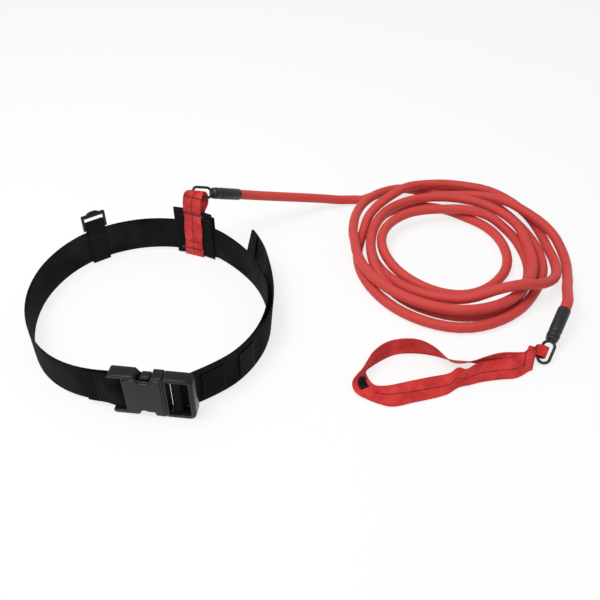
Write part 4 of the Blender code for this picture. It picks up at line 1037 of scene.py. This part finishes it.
def crossings(lie, runs, inset, toward, count=24):
    """Seams straight across a strap, but for an inset share of its width at each edge."""
    return [seam_line(lie, (run, inset), (run, 1 - inset), toward, count) for run in runs]


black_thread = thread_finish("black thread", (0.024, 0.024, 0.022))
dull_thread = thread_finish("dull black thread", (0.002, 0.002, 0.002))
red_thread = thread_finish("red thread", (0.13, 0.010, 0.012))
loose_thread = thread_finish("frayed thread", (0.52, 0.24, 0.23))
lines = crossings(main_lie, (0.0155, 0.0195, 0.0235), 0.05, (0.15, -1.0, 0))
belt_seams = seams("belt_seam_stitches", lines, black_thread)
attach(belt_seams, "belt")

last = tail_lie["run"][-1]
lines = [line for run in (last - 0.004, last - 0.0105)
         for toward in ((-1.0, -0.4, 0), (1.0, 0.4, 0))
         for line in crossings(tail_lie, (run,), 0.06, toward)]
tail_seams = seams("adjusting_seam_stitches", lines, black_thread)
lines = []
for patch, lie in patches:
    lines += boxed(lie, 0.0025, 0.07, (1, -1, 0))
tape_seams = seams("hook_tape_stitches", lines, dull_thread, thread=0.0003)

way, slider_out = belt_frame(SLIDER_AT)[1:]
lines = []
for lie, height, toward in ((inner_lie, INNER_HEIGHT, -slider_out),
                            (outer_lie, OUTER_HEIGHT, slider_out)):
    last = lie["run"][-1]
    for down in (0.0030, 0.0115):
        share = 1 - down / height
        lines.append(seam_line(lie, (0.002, share), (last - 0.002, share), toward))
slider_seams = seams("slider_seam_stitches", lines, black_thread)
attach(slider_seams, "slider")

lines = crossings(tether_lie, (0.0212, 0.0224, 0.0802, 0.0814, 0.0838), 0.05, -slider_out)
lines += [seam_line(tether_lie, (0.011, share), (0.0212, share), -slider_out, 8)
          for share in (0.30, 0.70)]
made = seams("tether_seam_stitches", lines, red_thread, thread=0.0005)
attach(made, "slider")
ends = []
for k, (run, share, reach) in enumerate(((0.0812, 0.97, 0.0045), (0.0222, 0.03, -0.0050),
                                         (0.0214, 0.97, 0.0030))):
    root = min((on_strap(tether_lie, run, share, side, 0.0003) for side in (1, -1)),
               key=slider_out.dot)
    curl = [root + way * reach * t - slider_out * 0.0012 * math.sin(3 * t)
            + Vector((0, 0, 0.0008 * math.sin(5 * t + k))) for t in np.linspace(0, 1, 9)]
    ends.append(tube_mesh("thread_end_%d" % k, curl, 0.00028, 6, loose_thread))
frayed = joined("tether_thread_ends", ends)
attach(frayed, "slider")

runs = [keeper_lie["run"][int(np.argmin(np.abs(keeper_lie["low"][:26, 2] - level)))]
        for level in (0.042, 0.046)]
lines = crossings(keeper_lie, runs, 0.08, -belt_frame(KEEPER_AT)[2])
made = seams("keeper_seam_stitches", lines, black_thread)
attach(made, "keeper")

toward = (0.0, -1.0, 0.6)
lines = [seam_line(hand_lie, (0.02, s), (0.16, s), toward, 40) for s in (0.08, 0.92)]
lines += boxed(hand_patch_lie, 0.002, 0.12, (0, -0.3, 1))
lines += crossings(hand_lie, [gone[k] + d for k in SEAM_END for d in (-0.0006, 0.0006)], 0.08,
                   toward, 16)
made = seams("hand_strap_seam_stitches", lines, red_thread, thread=0.0005)
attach(made, "hand_strap_loop")


# ---- Webbing left loose ----------------------------------
# When the buckle opens, its male half moves off along the belt, and the webbing beside it bends
# between the two. These pieces, with their stitches and the hook patches, are left without a
# body, and their placement is baked into their meshes.
for piece in (tail_web, patches[0][0], patches[1][0], tail_seams, tape_seams):
    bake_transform(piece)

bpy.context.view_layer.update()
